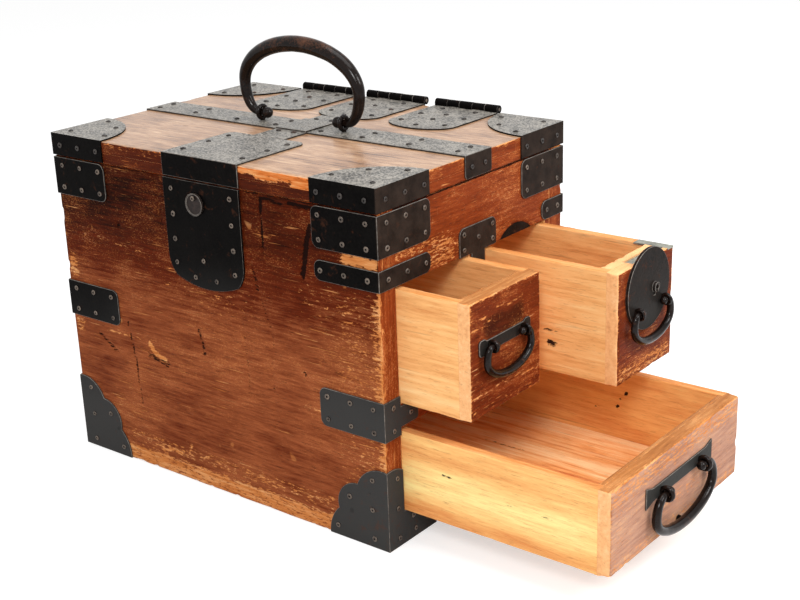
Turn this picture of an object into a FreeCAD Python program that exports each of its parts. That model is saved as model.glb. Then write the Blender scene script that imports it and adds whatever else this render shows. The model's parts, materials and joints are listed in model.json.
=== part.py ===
import FreeCAD, Part
import math
import os

import Sketcher

# Travel chest of iron-bound wood, in millimetres. X runs along the front to the end with the drawers,
# Y runs from the front to the back, Z is up. The origin is the centre of the underside.

V = FreeCAD.Vector
doc = FreeCAD.newDocument("travel_chest")

# Driving dimensions. Each becomes one cell of the sheet, under the name it has here.
DIMENSIONS = {
    # wooden case
    "case_length": 400.0,
    "case_depth": 280.0,
    "body_height": 307.0,
    "face_board": 21.0,
    "end_board": 18.0,
    "bottom_board_thickness": 14.0,
    "shelf_thickness": 10.0,
    "tray_floor_thickness": 8.0,
    # heights of the rails and drawer bays, from the ground up
    "bottom_rail_height": 31.5,
    "wide_bay_height": 79.0,
    "middle_rail_height": 23.5,
    "top_rail_height": 67.5,
    # widths across the drawer end; the front bay takes what these leave
    "partition_thickness": 23.0,
    "rear_bay_width": 100.0,
    "guide_thickness": 8.0,
    "runner_width": 22.0,
    # drawers
    "drawer_side_play": 1.5,
    "drawer_under_play": 0.3,
    "drawer_top_play": 2.2,
    "drawer_back_play": 4.0,
    "drawer_proud": 0.4,
    "drawer_front_thickness": 12.0,
    "drawer_side_thickness": 9.0,
    "drawer_lining": 5.0,
    "drawer_bottom_thickness": 6.0,
    "drawer_bottom_lift": 1.5,
    "small_drawer_open": 74.0,
    "lock_drawer_open": 136.0,
    "wide_drawer_open": 206.0,
    # lid
    "lid_thickness": 20.6,
    "lid_panel_thickness": 11.0,
    "lid_rim_width": 20.0,
    "lid_front_rim_width": 34.0,
    "seam_gap": 0.4,
    "lid_back_play": 0.3,
    # sheet iron
    "iron": 1.5,
    "iron_corner": 7.0,
    "upper_iron_reach": 70.0,
    "upper_iron_height": 37.0,
    "upper_iron_drop": 1.0,
    "narrow_iron_reach": 69.0,
    "narrow_iron_rear_reach": 36.0,
    "narrow_iron_height": 18.5,
    "iron_to_bay_gap": 0.8,
    "middle_iron_reach": 71.0,
    "middle_iron_height": 36.5,
    "middle_iron_low": 105.0,
    "middle_iron_left_low": 143.5,
    "middle_arm_height": 19.0,
    "middle_arm_reach": 45.0,
    "lid_iron_reach": 70.0,
    "lid_iron_drop": 20.0,
    "scallop_top_radius": 29.5,
    "scallop_middle_radius": 23.5,
    "scallop_low_radius": 37.0,
    # straps and plates on the lid
    "cross_strap_width": 40.0,
    "cross_strap_centre": 2.0,
    "centre_strap_width": 38.0,
    "lock_plate_width": 95.0,
    "lid_plate_depth": 90.0,
    "lid_plate_corner": 9.0,
    # lock plate on the front and its round cover
    "tongue_thickness": 2.2,
    "tongue_length": 100.0,
    "tongue_end_radius": 100.0,
    "tongue_corner": 28.0,
    "cover_radius": 10.5,
    "cover_thickness": 2.4,
    "cover_dish_radius": 9.4,
    "cover_dish_depth": 1.0,
    "cover_centre_x": -7.0,
    "cover_drop": 21.0,
    "cover_pin_rise": 6.0,
    "cover_pin_radius": 1.5,
    "cover_pin_head_radius": 2.8,
    "cover_pin_head_height": 1.2,
    "keyhole_radius": 2.6,
    "keyhole_slot_width": 2.6,
    "keyhole_slot_length": 8.0,
    # lid lock
    "lid_lock_width": 64.0,
    "lid_lock_height": 44.0,
    "lid_lock_depth": 15.0,
    "lid_lock_drop": 4.0,
    "staple_width": 10.0,
    "staple_thickness": 3.0,
    "staple_length": 15.0,
    "staple_hole_width": 5.6,
    "staple_hole_height": 7.0,
    "staple_play": 3.0,
    "staple_clearance": 1.3,
    "lid_bolt_length": 18.0,
    "lid_bolt_width": 4.4,
    "lid_bolt_height": 5.4,
    "lid_bolt_travel": 8.0,
    "bolt_play": 0.3,
    # plate over the partition's end and the inlaid strike plate
    "partition_iron_width": 56.0,
    "partition_iron_height": 26.0,
    "partition_tab_width": 20.0,
    "partition_tab_length": 11.5,
    "strike_margin": 0.8,
    # hinges
    "hinge_iron_gap": 3.0,
    "hinge_leaf_gap": 13.0,
    "hinge_leaf_length": 93.0,
    "hinge_back_length": 78.0,
    "hinge_tip_depth": 24.0,
    "barrel_radius": 4.0,
    "hinge_pin_radius": 1.6,
    "hinge_play": 0.05,
    "knuckle_gap": 0.4,
    # lid handle
    "handle_centre_x": -4.0,
    "handle_eye_spacing": 104.0,
    "handle_half_width": 72.4,
    "handle_shoulder": 28.4,
    "handle_reach": 69.9,
    "handle_pin_radius": 3.6,
    "handle_leg_radius": 5.6,
    "handle_grip_radius": 7.8,
    "handle_ball_radius": 5.6,
    "handle_eye_wire": 2.2,
    # bails of the two small drawers
    "small_eye_spacing": 48.0,
    "small_bail_half_width": 32.6,
    "small_bail_shoulder": 12.0,
    "small_bail_reach": 29.0,
    "small_bail_pin_radius": 2.6,
    "small_bail_leg_radius": 3.3,
    "small_bail_grip_radius": 3.8,
    "small_bail_ball_radius": 3.5,
    "small_eye_wire": 1.6,
    "small_pull_drop": 42.0,
    "small_pull_shift": 3.0,
    "small_pull_half_length": 38.0,
    "small_pull_half_height": 5.2,
    "small_pull_end_height": 7.2,
    "small_pull_end_length": 8.0,
    # bail of the wide drawer
    "wide_eye_spacing": 68.0,
    "wide_bail_half_width": 50.7,
    "wide_bail_shoulder": 17.0,
    "wide_bail_reach": 40.0,
    "wide_bail_pin_radius": 3.2,
    "wide_bail_leg_radius": 4.0,
    "wide_bail_grip_radius": 4.8,
    "wide_bail_ball_radius": 4.3,
    "wide_eye_wire": 2.1,
    "wide_eye_height": 44.0,
    "wide_pull_height": 46.8,
    "wide_pull_half_length": 58.5,
    "wide_pull_half_height": 6.0,
    "wide_pull_end_height": 9.6,
    "wide_pull_end_length": 12.0,
    "stop_nail_radius": 3.6,
    "stop_nail_gap": 0.3,
    # round plate and lock of the rear small drawer
    "disc_radius": 37.0,
    "disc_thickness": 3.0,
    "disc_centre_drop": 25.5,
    "disc_pull_drop": 42.0,
    "collar_offset": 10.0,
    "collar_drop": 27.0,
    "collar_radius": 4.6,
    "collar_stand": 3.0,
    "lock_drawer_lining": 11.0,
    "drawer_lock_width": 56.0,
    "drawer_lock_depth": 9.5,
    "drawer_lock_behind_face": 5.0,
    "drawer_lock_height": 34.0,
    "lock_arm_length": 34.5,
    "lock_arm_width": 10.5,
    "lock_arm_thickness": 1.5,
    "drawer_bolt_width": 12.0,
    "drawer_bolt_thickness": 5.0,
    "drawer_bolt_length": 24.0,
    "drawer_bolt_travel": 6.0,
    # eyes in general
    "eye_play": 0.08,
    "eye_side_play": 0.5,
    "eye_shank_swell": 0.2,
    "clinch_length": 15.0,
    "clinch_width": 3.4,
    "clinch_thickness": 1.3,
    # nails
    "nail_head_radius": 2.7,
    "nail_head_height": 1.2,
    "nail_shank_radius": 0.9,
    "nail_in_wood": 8.4,
}

sheet = doc.addObject("Spreadsheet::Sheet", "sizes")
for row, (name, value) in enumerate(DIMENSIONS.items(), start=1):
    sheet.set(f"A{row}", name)
    sheet.set(f"B{row}", str(value))
    sheet.setAlias(f"B{row}", name)
doc.recompute()


class Size:
    """A length that keeps its spreadsheet formula beside its present value."""

    def __init__(self, text, number):
        self.text = text
        self.number = number

    def __add__(self, other):
        other = as_size(other)
        return Size(f"({self.text} + {other.text})", self.number + other.number)

    def __sub__(self, other):
        other = as_size(other)
        return Size(f"({self.text} - {other.text})", self.number - other.number)

    def __mul__(self, factor):
        return Size(f"({self.text} * {factor})", self.number * factor)

    def __truediv__(self, divisor):
        return Size(f"({self.text} / {divisor})", self.number / divisor)

    def __neg__(self):
        return self * -1

    def __radd__(self, other):
        return as_size(other) + self

    def __rsub__(self, other):
        return as_size(other) - self


def as_size(value):
    """Let a plain number stand where a Size is wanted."""
    if isinstance(value, Size):
        return value
    return Size(str(float(value)), float(value))


class Dimensions:
    """Reads the driving dimensions by name."""

    def __getattr__(self, name):
        return Size(f"sizes.{name}", sheet.get(name))


d = Dimensions()

# Planes and levels that the pieces share.
half_length = d.case_length / 2
half_depth = d.case_depth / 2
inner_end = half_length - d.end_board
inner_face = half_depth - d.face_board
wide_bay_floor = d.bottom_rail_height
wide_bay_top = wide_bay_floor + d.wide_bay_height
small_bay_floor = wide_bay_top + d.middle_rail_height
small_bay_top = d.body_height - d.top_rail_height
middle_rail_centre = (wide_bay_top + small_bay_floor) / 2
rear_bay_far = inner_face - d.guide_thickness
rear_bay_near = rear_bay_far - d.rear_bay_width
partition_near = rear_bay_near - d.partition_thickness
partition_centre = (partition_near + rear_bay_near) / 2
lid_low = d.body_height + d.seam_gap
lid_top = lid_low + d.lid_thickness
lid_panel_low = lid_top - d.lid_panel_thickness
lid_back = half_depth - d.lid_back_play
lid_iron_low = lid_top - d.lid_iron_drop
iron_top = lid_top + d.iron
strap_near = d.cross_strap_centre - d.cross_strap_width / 2
strap_far = d.cross_strap_centre + d.cross_strap_width / 2
lid_plate_back = -half_depth + d.lid_plate_depth
hinge_tip = half_depth - d.hinge_leaf_length
cover_centre_z = d.body_height - d.cover_drop
# Three hinges of one width share the length that the corner irons leave on the back.
hinge_room = d.case_length - (d.upper_iron_reach + d.hinge_iron_gap + d.hinge_leaf_gap) * 2
hinge_width = hinge_room / 3
hinge_spacing = hinge_width + d.hinge_leaf_gap


class Face:
    """A flat side of the chest: its own across, up and outward directions, and where it lies."""

    def __init__(self, across, up, axis, offset):
        self.across = V(*across)
        self.up = V(*up)
        self.out = self.across.cross(self.up)
        self.axis = axis
        self.offset = as_size(offset)
        self.rotation = FreeCAD.Rotation(self.across, self.up, self.out, "XYZ")

    def at(self, across, up, out=0):
        """The x, y and z of a spot given in this side's own directions."""
        spot = []
        for axis in "xyz":
            total = self.offset if axis == self.axis else as_size(0)
            for value, direction in ((across, self.across), (up, self.up), (out, self.out)):
                sign = getattr(direction, axis)
                if sign:
                    total = total + as_size(value) * sign
            spot.append(total)
        return spot

    def lay(self, thing):
        """Put a piece that was drawn flat on the ground onto this side."""
        thing.Placement.Rotation = self.rotation
        return bind(thing, **{f"Placement.Base.{self.axis}": self.offset})


FRONT = Face((1, 0, 0), (0, 0, 1), "y", -half_depth)
RIGHT = Face((0, 1, 0), (0, 0, 1), "x", half_length)
LEFT = Face((0, -1, 0), (0, 0, 1), "x", -half_length)
BACK = Face((-1, 0, 0), (0, 0, 1), "y", half_depth)
TOP = Face((1, 0, 0), (0, 1, 0), "z", lid_top)
# The upright plane across the middle of the chest, facing the drawer end.
MIDDLE = Face((0, 1, 0), (0, 0, 1), "x", 0)


# Building blocks


def bind(thing, **sizes):
    for prop, value in sizes.items():
        thing.setExpression(prop, as_size(value).text)
    return thing


def move_to(thing, spot):
    return bind(thing, **{f"Placement.Base.{axis}": value for axis, value in zip("xyz", spot)})


def block(name, *spans):
    """A rectangular piece between two values on each of x, y and z."""
    spans = [(as_size(low), as_size(high)) for low, high in spans]
    box = doc.addObject("Part::Box", name)
    bind(box, **{side: high - low for side, (low, high) in zip(("Length", "Width", "Height"), spans)})
    return move_to(box, [low for low, high in spans])


def slab(name, face, across_span, up_span, out_span):
    """A rectangular piece given in the directions of one side."""
    corners = zip(*(face.at(*values) for values in zip(across_span, up_span, out_span)))
    return block(name, *(sorted(pair, key=lambda value: value.number) for pair in corners))


def rod(name, face, across, up, out_span, radius):
    """A round piece standing on a side, between two distances out from it."""
    low, high = (as_size(value) for value in out_span)
    cylinder = bind(doc.addObject("Part::Cylinder", name), Radius=radius, Height=high - low)
    cylinder.Placement.Rotation = face.rotation
    return move_to(cylinder, face.at(across, up, low))


def fuse(name, *members):
    joined = doc.addObject("Part::MultiFuse", name)
    joined.Shapes = list(members)
    joined.Refine = True
    return joined


def cut(name, base, tool):
    result = doc.addObject("Part::Cut", name)
    result.Base = base
    result.Tool = tool
    return result


def common(name, base, tool):
    result = doc.addObject("Part::Common", name)
    result.Base = base
    result.Tool = tool
    return result


def mirrored(name, source, normal):
    """The same piece on the other side of the chest."""
    copy = doc.addObject("Part::Mirroring", name)
    copy.Source = source
    copy.Normal = V(*normal)
    return copy


def group(name, *members):
    """Like pieces that share one node, each still its own solid."""
    bundle = doc.addObject("Part::Compound", name)
    bundle.Links = list(members)
    return bundle


def solid_group(name, solids):
    bundle = doc.addObject("Part::Feature", name)
    bundle.Shape = Part.makeCompound(solids)
    return bundle


subparts = []


def keep(label, thing):
    """Name a finished sub-part, which also names its file."""
    thing.Label = label
    subparts.append(thing)


def rectangle(low_across, high_across, low_up, high_up):
    return [(low_across, low_up), (high_across, low_up), (high_across, high_up), (low_across, high_up)]


def upright_edges(shape, corners):
    """Names of the edges that stand on the given corners of a flat plate."""
    names = []
    for number, edge in enumerate(shape.Edges, start=1):
        first, last = edge.firstVertex().Point, edge.lastVertex().Point
        upright = math.hypot(first.x - last.x, first.y - last.y) < 1e-6
        if upright and any(math.hypot(first.x - x, first.y - y) < 1e-4 for x, y in corners):
            names.append(f"Edge{number}")
    return names


def plate(name, face, corners, thickness, rounded=(), radius=None):
    """A flat plate on one side of the chest, drawn by its corners, some of them rounded."""
    corners = [(as_size(across), as_size(up)) for across, up in corners]
    points = [V(across.number, up.number, 0) for across, up in corners]
    body = doc.addObject("PartDesign::Body", name)
    sketch = body.newObject("Sketcher::SketchObject", name + "_outline")
    ground = next(item for item in body.Origin.OriginFeatures if item.Role == "XY_Plane")
    sketch.AttachmentSupport = [(ground, "")]
    sketch.MapMode = "FlatFace"
    for start, end in zip(points, points[1:] + points[:1]):
        sketch.addGeometry(Part.LineSegment(start, end), False)
    for index, pair in enumerate(corners):
        following = (index + 1) % len(corners)
        sketch.addConstraint(Sketcher.Constraint("Coincident", index, 2, following, 1))
        for kind, value in zip(("DistanceX", "DistanceY"), pair):
            number = sketch.addConstraint(Sketcher.Constraint(kind, -1, 1, index, 1, value.number))
            bind(sketch, **{f"Constraints[{number}]": value})
    pad = body.newObject("PartDesign::Pad", name + "_sheet")
    pad.Profile = sketch
    bind(pad, Length=thickness)
    if rounded:
        doc.recompute()
        fillet = body.newObject("PartDesign::Fillet", name + "_corners")
        chosen = [(points[index].x, points[index].y) for index in rounded]
        fillet.Base = (pad, upright_edges(pad.Shape, chosen))
        bind(fillet, Radius=radius)
        body.Tip = fillet
    return face.lay(body)


def keyhole(name, face, across, up, out_span):
    """A round hole with a slot under it, for a key."""
    half_slot = d.keyhole_slot_width / 2
    shank = rod(name + "_round", face, across, up, out_span, d.keyhole_radius)
    slot_span = (across - half_slot, across + half_slot)
    slot = slab(name + "_slot", face, slot_span, (up - d.keyhole_slot_length, up), out_span)
    return fuse(name, shank, slot)


# Wooden case


def lid_keyhole(name):
    """The key's way through the lock plate and the front board into the lock case."""
    height = cover_centre_z + d.keyhole_slot_length / 4
    span = (-d.face_board - d.lid_lock_depth / 2, d.tongue_thickness)
    return keyhole(name, FRONT, as_size(d.cover_centre_x), height, span)


def make_case():
    whole_length = (-half_length, half_length)
    between_ends = (-inner_end, inner_end)
    to_drawer_end = (-inner_end, half_length)
    end_span = (inner_end, half_length)
    between_faces = (-inner_face, inner_face)
    full_height = (0, d.body_height)
    upper_bays = (small_bay_floor, small_bay_top)
    front_blank = block("front_blank", whole_length, (-half_depth, -inner_face), full_height)
    keep("front_board", cut("front_cut", front_blank, lid_keyhole("front_keyhole")))
    keep("back_board", block("back", whole_length, (inner_face, half_depth), full_height))
    keep("left_end_board", block("left_end", (-half_length, -inner_end), between_faces, full_height))

    rail_blank = block("top_rail_blank", end_span, between_faces, (small_bay_top, d.body_height))
    half_thick = d.drawer_bolt_thickness / 2 + d.bolt_play
    half_wide = d.drawer_bolt_width / 2 + d.bolt_play
    bolt_hollow = block(
        "bolt_hollow",
        (drawer_bolt_x - half_thick, drawer_bolt_x + half_thick),
        (drawer_bolt_y - half_wide, drawer_bolt_y + half_wide),
        (small_bay_top, small_bay_top + d.drawer_bolt_travel),
    )
    hollows = fuse("rail_hollows", strike_arch("strike_hollow"), bolt_hollow)
    keep("top_rail", cut("top_rail_cut", rail_blank, hollows))
    keep("strike_plate", strike_arch("strike"))

    keep("middle_rail", block("middle_rail_bar", end_span, between_faces, (wide_bay_top, small_bay_floor)))
    keep("bottom_rail", block("bottom_rail_bar", end_span, between_faces, (0, wide_bay_floor)))
    keep("bottom_board", block("bottom", between_ends, between_faces, (0, d.bottom_board_thickness)))
    shelf_span = (small_bay_floor - d.shelf_thickness, small_bay_floor)
    keep("shelf_board", block("shelf", between_ends, between_faces, shelf_span))
    tray_span = (small_bay_top, small_bay_top + d.tray_floor_thickness)
    keep("tray_floor", block("tray", between_ends, between_faces, tray_span))
    keep("partition_board", block("partition", to_drawer_end, (partition_near, rear_bay_near), upper_bays))

    runner_height = (d.bottom_board_thickness, wide_bay_floor)
    guide_span = (rear_bay_far, inner_face)
    guides = [
        block("front_runner", between_ends, (-inner_face, -inner_face + d.runner_width), runner_height),
        block("rear_runner", between_ends, (inner_face - d.runner_width, inner_face), runner_height),
        block("low_guide", to_drawer_end, guide_span, (wide_bay_floor, wide_bay_top)),
        block("high_guide", to_drawer_end, guide_span, upper_bays),
    ]
    keep("drawer_guides", group("guide_set", *guides))


# Drawers


class Drawer:
    """Where one drawer lies: its bay, how far it stands open, and its own faces."""

    def __init__(self, name, bay_near, bay_far, bay_floor, bay_top, opened, lining):
        self.name = name
        self.lining = lining
        self.near = bay_near + d.drawer_side_play
        self.far = bay_far - d.drawer_side_play
        self.centre = (self.near + self.far) / 2
        self.low = bay_floor + d.drawer_under_play
        self.top = bay_top - d.drawer_top_play
        self.face_x = half_length + d.drawer_proud + opened
        self.front_back = self.face_x - d.drawer_front_thickness
        self.rear = -inner_end + d.drawer_back_play + opened
        self.face = Face((0, 1, 0), (0, 0, 1), "x", self.face_x)

    def make_box(self, front_tool=None, far_side_tool=None):
        """Front, two sides, back and bottom.

        The front covers the ends of the sides, and its lining fits between them."""
        name = self.name
        wood = d.drawer_side_thickness
        height = (self.low, self.top)
        run = (self.rear, self.front_back)
        inside = (self.near + wood, self.far - wood)
        floor_low = self.low + d.drawer_bottom_lift
        floor_span = (floor_low, floor_low + d.drawer_bottom_thickness)
        lined_back = self.front_back - self.lining
        outer = block(name + "_front_outer", (self.front_back, self.face_x), (self.near, self.far), height)
        lining = block(name + "_front_lining", (lined_back, self.front_back), inside, height)
        front = fuse(name + "_front_layers", outer, lining)
        if front_tool:
            front = cut(name + "_front_cut", front, front_tool)
        keep(name + "_front", front)
        near_side = block(name + "_near_side", run, (self.near, self.near + wood), height)
        far_side = block(name + "_far_side", run, (self.far - wood, self.far), height)
        if far_side_tool:
            far_side = cut(name + "_far_side_cut", far_side, far_side_tool)
        keep(name + "_sides", group(name + "_side_pair", near_side, far_side))
        keep(name + "_back", block(name + "_back_board", (self.rear, self.rear + wood), inside, height))
        floor_run = (self.rear + wood, lined_back)
        keep(name + "_bottom", block(name + "_bottom_board", floor_run, inside, floor_span))

    def make_pull(self, kind, level, backing, shift=0):
        """The bail and its two eyes. Backing is the thickness of the plate that the eyes stand in."""
        spacing = getattr(d, kind + "_eye_spacing")
        wire = getattr(d, kind + "_eye_wire")
        hole = getattr(d, kind + "_bail_pin_radius") + d.eye_play
        stand = backing + hole + wire
        middle = self.centre + shift
        eyes = []
        for side, label in ((-1, "near"), (1, "far")):
            across = middle + spacing / 2 * side
            name = f"{self.name}_{label}_eye"
            depth = d.drawer_front_thickness + self.lining
            eyes.append(eye(name, self.face, across, level, hole, wire, stand, depth))
        keep(self.name + "_eyes", group(self.name + "_eye_pair", *eyes))
        bail = Bail(kind + "_bail", spacing, wire)
        spot = self.face.at(middle, level, stand)
        bar = hang(self.name + "_bar", bail, spot, self.face.across, -self.face.up)
        keep(self.name + "_bail", bar)
        return stand


small_drawer = Drawer(
    "small_drawer", -inner_face, partition_near, small_bay_floor, small_bay_top,
    d.small_drawer_open, d.drawer_lining,
)
lock_drawer = Drawer(
    "lock_drawer", rear_bay_near, rear_bay_far, small_bay_floor, small_bay_top,
    d.lock_drawer_open, d.lock_drawer_lining,
)
wide_drawer = Drawer(
    "wide_drawer", -inner_face, rear_bay_far, wide_bay_floor, wide_bay_top,
    d.wide_drawer_open, d.drawer_lining,
)

# The drawer lock is let into the top of its front. Its bolt meets the rail when the drawer is shut.
drawer_lock_far = lock_drawer.far - d.drawer_side_thickness
drawer_lock_near = drawer_lock_far - d.drawer_lock_width
drawer_lock_front = lock_drawer.face_x - d.drawer_lock_behind_face
drawer_bolt_y = drawer_lock_near + d.drawer_lock_width / 2
drawer_bolt_x = drawer_lock_front - d.drawer_lock_depth / 2 - d.lock_drawer_open
disc_height = lock_drawer.top - d.disc_centre_drop


def strike_arch(name):
    """The half-round inlay that the round plate's upper edge covers when the drawer is shut."""
    sunk = (-d.iron, 0)
    centre = lock_drawer.centre
    radius = d.disc_radius + d.strike_margin
    whole = rod(name + "_disc", RIGHT, centre, disc_height, sunk, radius)
    across_span = (centre - radius, centre + radius)
    above = slab(name + "_above", RIGHT, across_span, (small_bay_top, disc_height + radius), sunk)
    return common(name + "_arch", whole, above)


def pull_outline(centre, level, distances, heights):
    """Corners of a plate that is the same left and right, up and down, from its end inwards."""
    steps = list(zip(distances, heights))
    below = [(centre - away, level - up) for away, up in steps]
    below += [(centre + away, level - up) for away, up in reversed(steps)]
    return below + [(centre * 2 - across, level * 2 - up) for across, up in below]


def make_small_drawer():
    small_drawer.make_box()
    ear = d.small_pull_half_length - d.small_pull_end_length
    neck = ear - d.small_pull_end_length / 3
    distances = (d.small_pull_half_length, ear, neck)
    heights = (d.small_pull_end_height, d.small_pull_end_height, d.small_pull_half_height)
    level = small_drawer.top - d.small_pull_drop
    outline = pull_outline(small_drawer.centre - d.small_pull_shift, level, distances, heights)
    ends = (0, 5, 6, 11)
    pull = plate("small_pull", small_drawer.face, outline, d.iron, ends, d.small_pull_end_height / 2)
    keep("small_drawer_pull_plate", pull)
    small_drawer.make_pull("small", level, d.iron, -d.small_pull_shift)


def make_lock_drawer():
    drawer = lock_drawer
    collar_y = drawer.centre + d.collar_offset
    collar_z = drawer.top - d.collar_drop
    collar_top = d.disc_thickness + d.collar_stand
    key_depth = d.drawer_lock_behind_face + d.drawer_lock_depth * 0.75
    key_way = keyhole("drawer_keyhole", drawer.face, collar_y, collar_z, (-key_depth, collar_top))
    lock_low = drawer.top - d.drawer_lock_height
    lock_top = drawer.top - d.lock_arm_thickness
    lock_place = (
        (drawer_lock_front - d.drawer_lock_depth, drawer_lock_front), (drawer_lock_near, drawer_lock_far)
    )
    pocket = block("drawer_lock_pocket", *lock_place, (lock_low, drawer.top))
    lock_blank = block("drawer_lock_blank", *lock_place, (lock_low, lock_top))
    # A flat arm runs from the lock over the corner of the drawer, flush with the wood.
    arm = block(
        "drawer_lock_arm",
        (drawer.face_x - d.lock_arm_length, drawer.face_x),
        (drawer.far - d.lock_arm_width, drawer.far),
        (lock_top, drawer.top),
    )
    drawer.make_box(fuse("drawer_front_hollows", key_way, pocket, arm), arm)
    disc_span = (0, d.disc_thickness)
    disc = rod("disc_blank", drawer.face, drawer.centre, disc_height, disc_span, d.disc_radius)
    collar = rod("collar", drawer.face, collar_y, collar_z, (d.disc_thickness, collar_top), d.collar_radius)
    keep("lock_drawer_round_plate", cut("disc_cut", fuse("disc_collar", disc, collar), key_way))

    open_bolt_x = drawer_bolt_x + d.lock_drawer_open

    def bolt_block(name, play):
        half_thick = d.drawer_bolt_thickness / 2 + play
        half_wide = d.drawer_bolt_width / 2 + play
        return block(
            name,
            (open_bolt_x - half_thick, open_bolt_x + half_thick),
            (drawer_bolt_y - half_wide, drawer_bolt_y + half_wide),
            (drawer.top - d.drawer_bolt_length - play, lock_top),
        )

    lock_whole = fuse("drawer_lock_whole", lock_blank, arm)
    lock_hollows = fuse("drawer_lock_hollows", bolt_block("drawer_bolt_channel", d.bolt_play), key_way)
    keep("lock_drawer_lock_case", cut("drawer_lock_cut", lock_whole, lock_hollows))
    keep("lock_drawer_bolt", bolt_block("drawer_bolt", 0))
    drawer.make_pull("small", drawer.top - d.disc_pull_drop, d.disc_thickness)


def make_wide_drawer():
    drawer = wide_drawer
    drawer.make_box()
    distances = (d.wide_pull_half_length, d.wide_pull_half_length - d.wide_pull_end_length)
    heights = (d.wide_pull_end_height, d.wide_pull_half_height)
    outline = pull_outline(drawer.centre, drawer.low + d.wide_pull_height, distances, heights)
    keep("wide_drawer_pull_plate", plate("wide_pull", drawer.face, outline, d.iron))
    stand = drawer.make_pull("wide", drawer.low + d.wide_eye_height, d.iron)

    stop_top = stand - d.wide_bail_grip_radius - d.stop_nail_gap
    level = drawer.low + d.wide_eye_height - d.wide_bail_reach
    post_span = (-d.nail_in_wood, stop_top)
    post = rod("stop_post", drawer.face, drawer.centre, level, post_span, d.stop_nail_radius / 2)
    cap_span = (stop_top - d.nail_head_height, stop_top)
    cap = rod("stop_cap", drawer.face, drawer.centre, level, cap_span, d.stop_nail_radius)
    keep("wide_drawer_stop_nail", fuse("stop_nail", post, cap))


# Forged handles and their eyes


class Bail:
    """Sizes of one forged handle, measured from the axis through its two eyes."""

    def __init__(self, kind, spacing, wire):
        def size(name):
            return getattr(d, f"{kind}_{name}").number

        self.pin = size("pin_radius")
        self.leg = size("leg_radius")
        self.grip = size("grip_radius")
        self.ball = size("ball_radius")
        self.half_width = size("half_width")
        self.shoulder = size("shoulder")
        self.reach = size("reach")
        eye_centre = spacing.number / 2
        play = d.eye_side_play.number
        self.foot = eye_centre + wire.number + 2 * play + self.pin / 4
        self.tip = eye_centre - wire.number - play - math.sqrt(self.ball**2 - self.pin**2)

    def station(self, turn):
        """Centre, direction and radius of the bar at a turn of 0 degrees at a foot up to 180 at mid-grip."""
        if turn <= 90:
            angle = math.radians(turn)
            bulge = self.half_width - self.foot
            centre = (self.foot + bulge * math.sin(angle), self.shoulder * (1 - math.cos(angle)))
            heading = (bulge * math.cos(angle), self.shoulder * math.sin(angle))
            return centre, heading, self.pin + (self.leg - self.pin) * math.sin(angle)
        angle = math.radians(turn - 90)
        rise = self.reach - self.shoulder
        centre = (self.half_width * math.cos(angle), self.shoulder + rise * math.sin(angle))
        heading = (-self.half_width * math.sin(angle), rise * math.cos(angle))
        return centre, heading, self.leg + (self.grip - self.leg) * math.sin(angle)

    def shape(self):
        """The bar in its own plane, with the eyes on its first axis and the grip along its second."""
        turns = list(range(0, 181, 15))
        rings = []
        for side, order in ((1, turns), (-1, turns[-2::-1])):
            for turn in order:
                (across, away), (step_across, step_away), radius = self.station(turn)
                normal = V(step_across, side * step_away, 0)
                circle = Part.Circle(V(side * across, away, 0), normal, radius)
                rings.append(Part.Wire([circle.toShape()]))
        members = []
        for side in (1, -1):
            tip = V(side * self.tip, 0, 0)
            members.append(Part.makeCylinder(self.pin, self.foot - self.tip, tip, V(side, 0, 0)))
            members.append(Part.makeSphere(self.ball, tip))
        return Part.makeLoft(rings, True, False).multiFuse(members).removeSplitter()


def hang(name, bail, spot, across, away):
    """Place a handle with its eyes along one direction and its grip towards another."""
    bar = doc.addObject("Part::Feature", name)
    bar.Shape = bail.shape()
    bar.Placement.Rotation = FreeCAD.Rotation(across, away, across.cross(away), "XYZ")
    return move_to(bar, spot)


def eye(name, face, across, up, hole_radius, wire, stand, depth):
    """A driven eye: its ring, the shank through the piece behind it, and the clinched legs inside."""
    mean = hole_radius + wire
    loop = bind(doc.addObject("Part::Torus", name + "_loop"), Radius1=mean, Radius2=wire)
    loop.Placement.Rotation = FreeCAD.Rotation(V(0, 0, 1), face.across)
    move_to(loop, face.at(across, up, stand))
    shank = rod(name + "_shank", face, across, up, (-depth, stand - mean), wire + d.eye_shank_swell)
    half_long = d.clinch_length / 2
    half_wide = d.clinch_width / 2
    legs = slab(
        name + "_legs",
        face,
        (across - half_wide, across + half_wide),
        (up - half_long, up + half_long),
        (-depth - d.clinch_thickness, -depth),
    )
    return fuse(name, loop, shank, legs)


def make_lid_handle():
    hole = d.handle_pin_radius + d.eye_play
    stand = d.iron + hole + d.handle_eye_wire * 2
    eyes = []
    for side, label in ((-1, "left"), (1, "right")):
        across = d.handle_centre_x + d.handle_eye_spacing / 2 * side
        name = f"handle_{label}_eye"
        depth = d.lid_panel_thickness
        eyes.append(eye(name, TOP, across, d.cross_strap_centre, hole, d.handle_eye_wire, stand, depth))
    keep("handle_eyes", group("handle_eye_pair", *eyes))
    bail = Bail("handle", d.handle_eye_spacing, d.handle_eye_wire)
    spot = TOP.at(d.handle_centre_x, d.cross_strap_centre, stand)
    keep("lid_handle", hang("handle_bar", bail, spot, TOP.across, TOP.out))


# Lid


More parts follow.
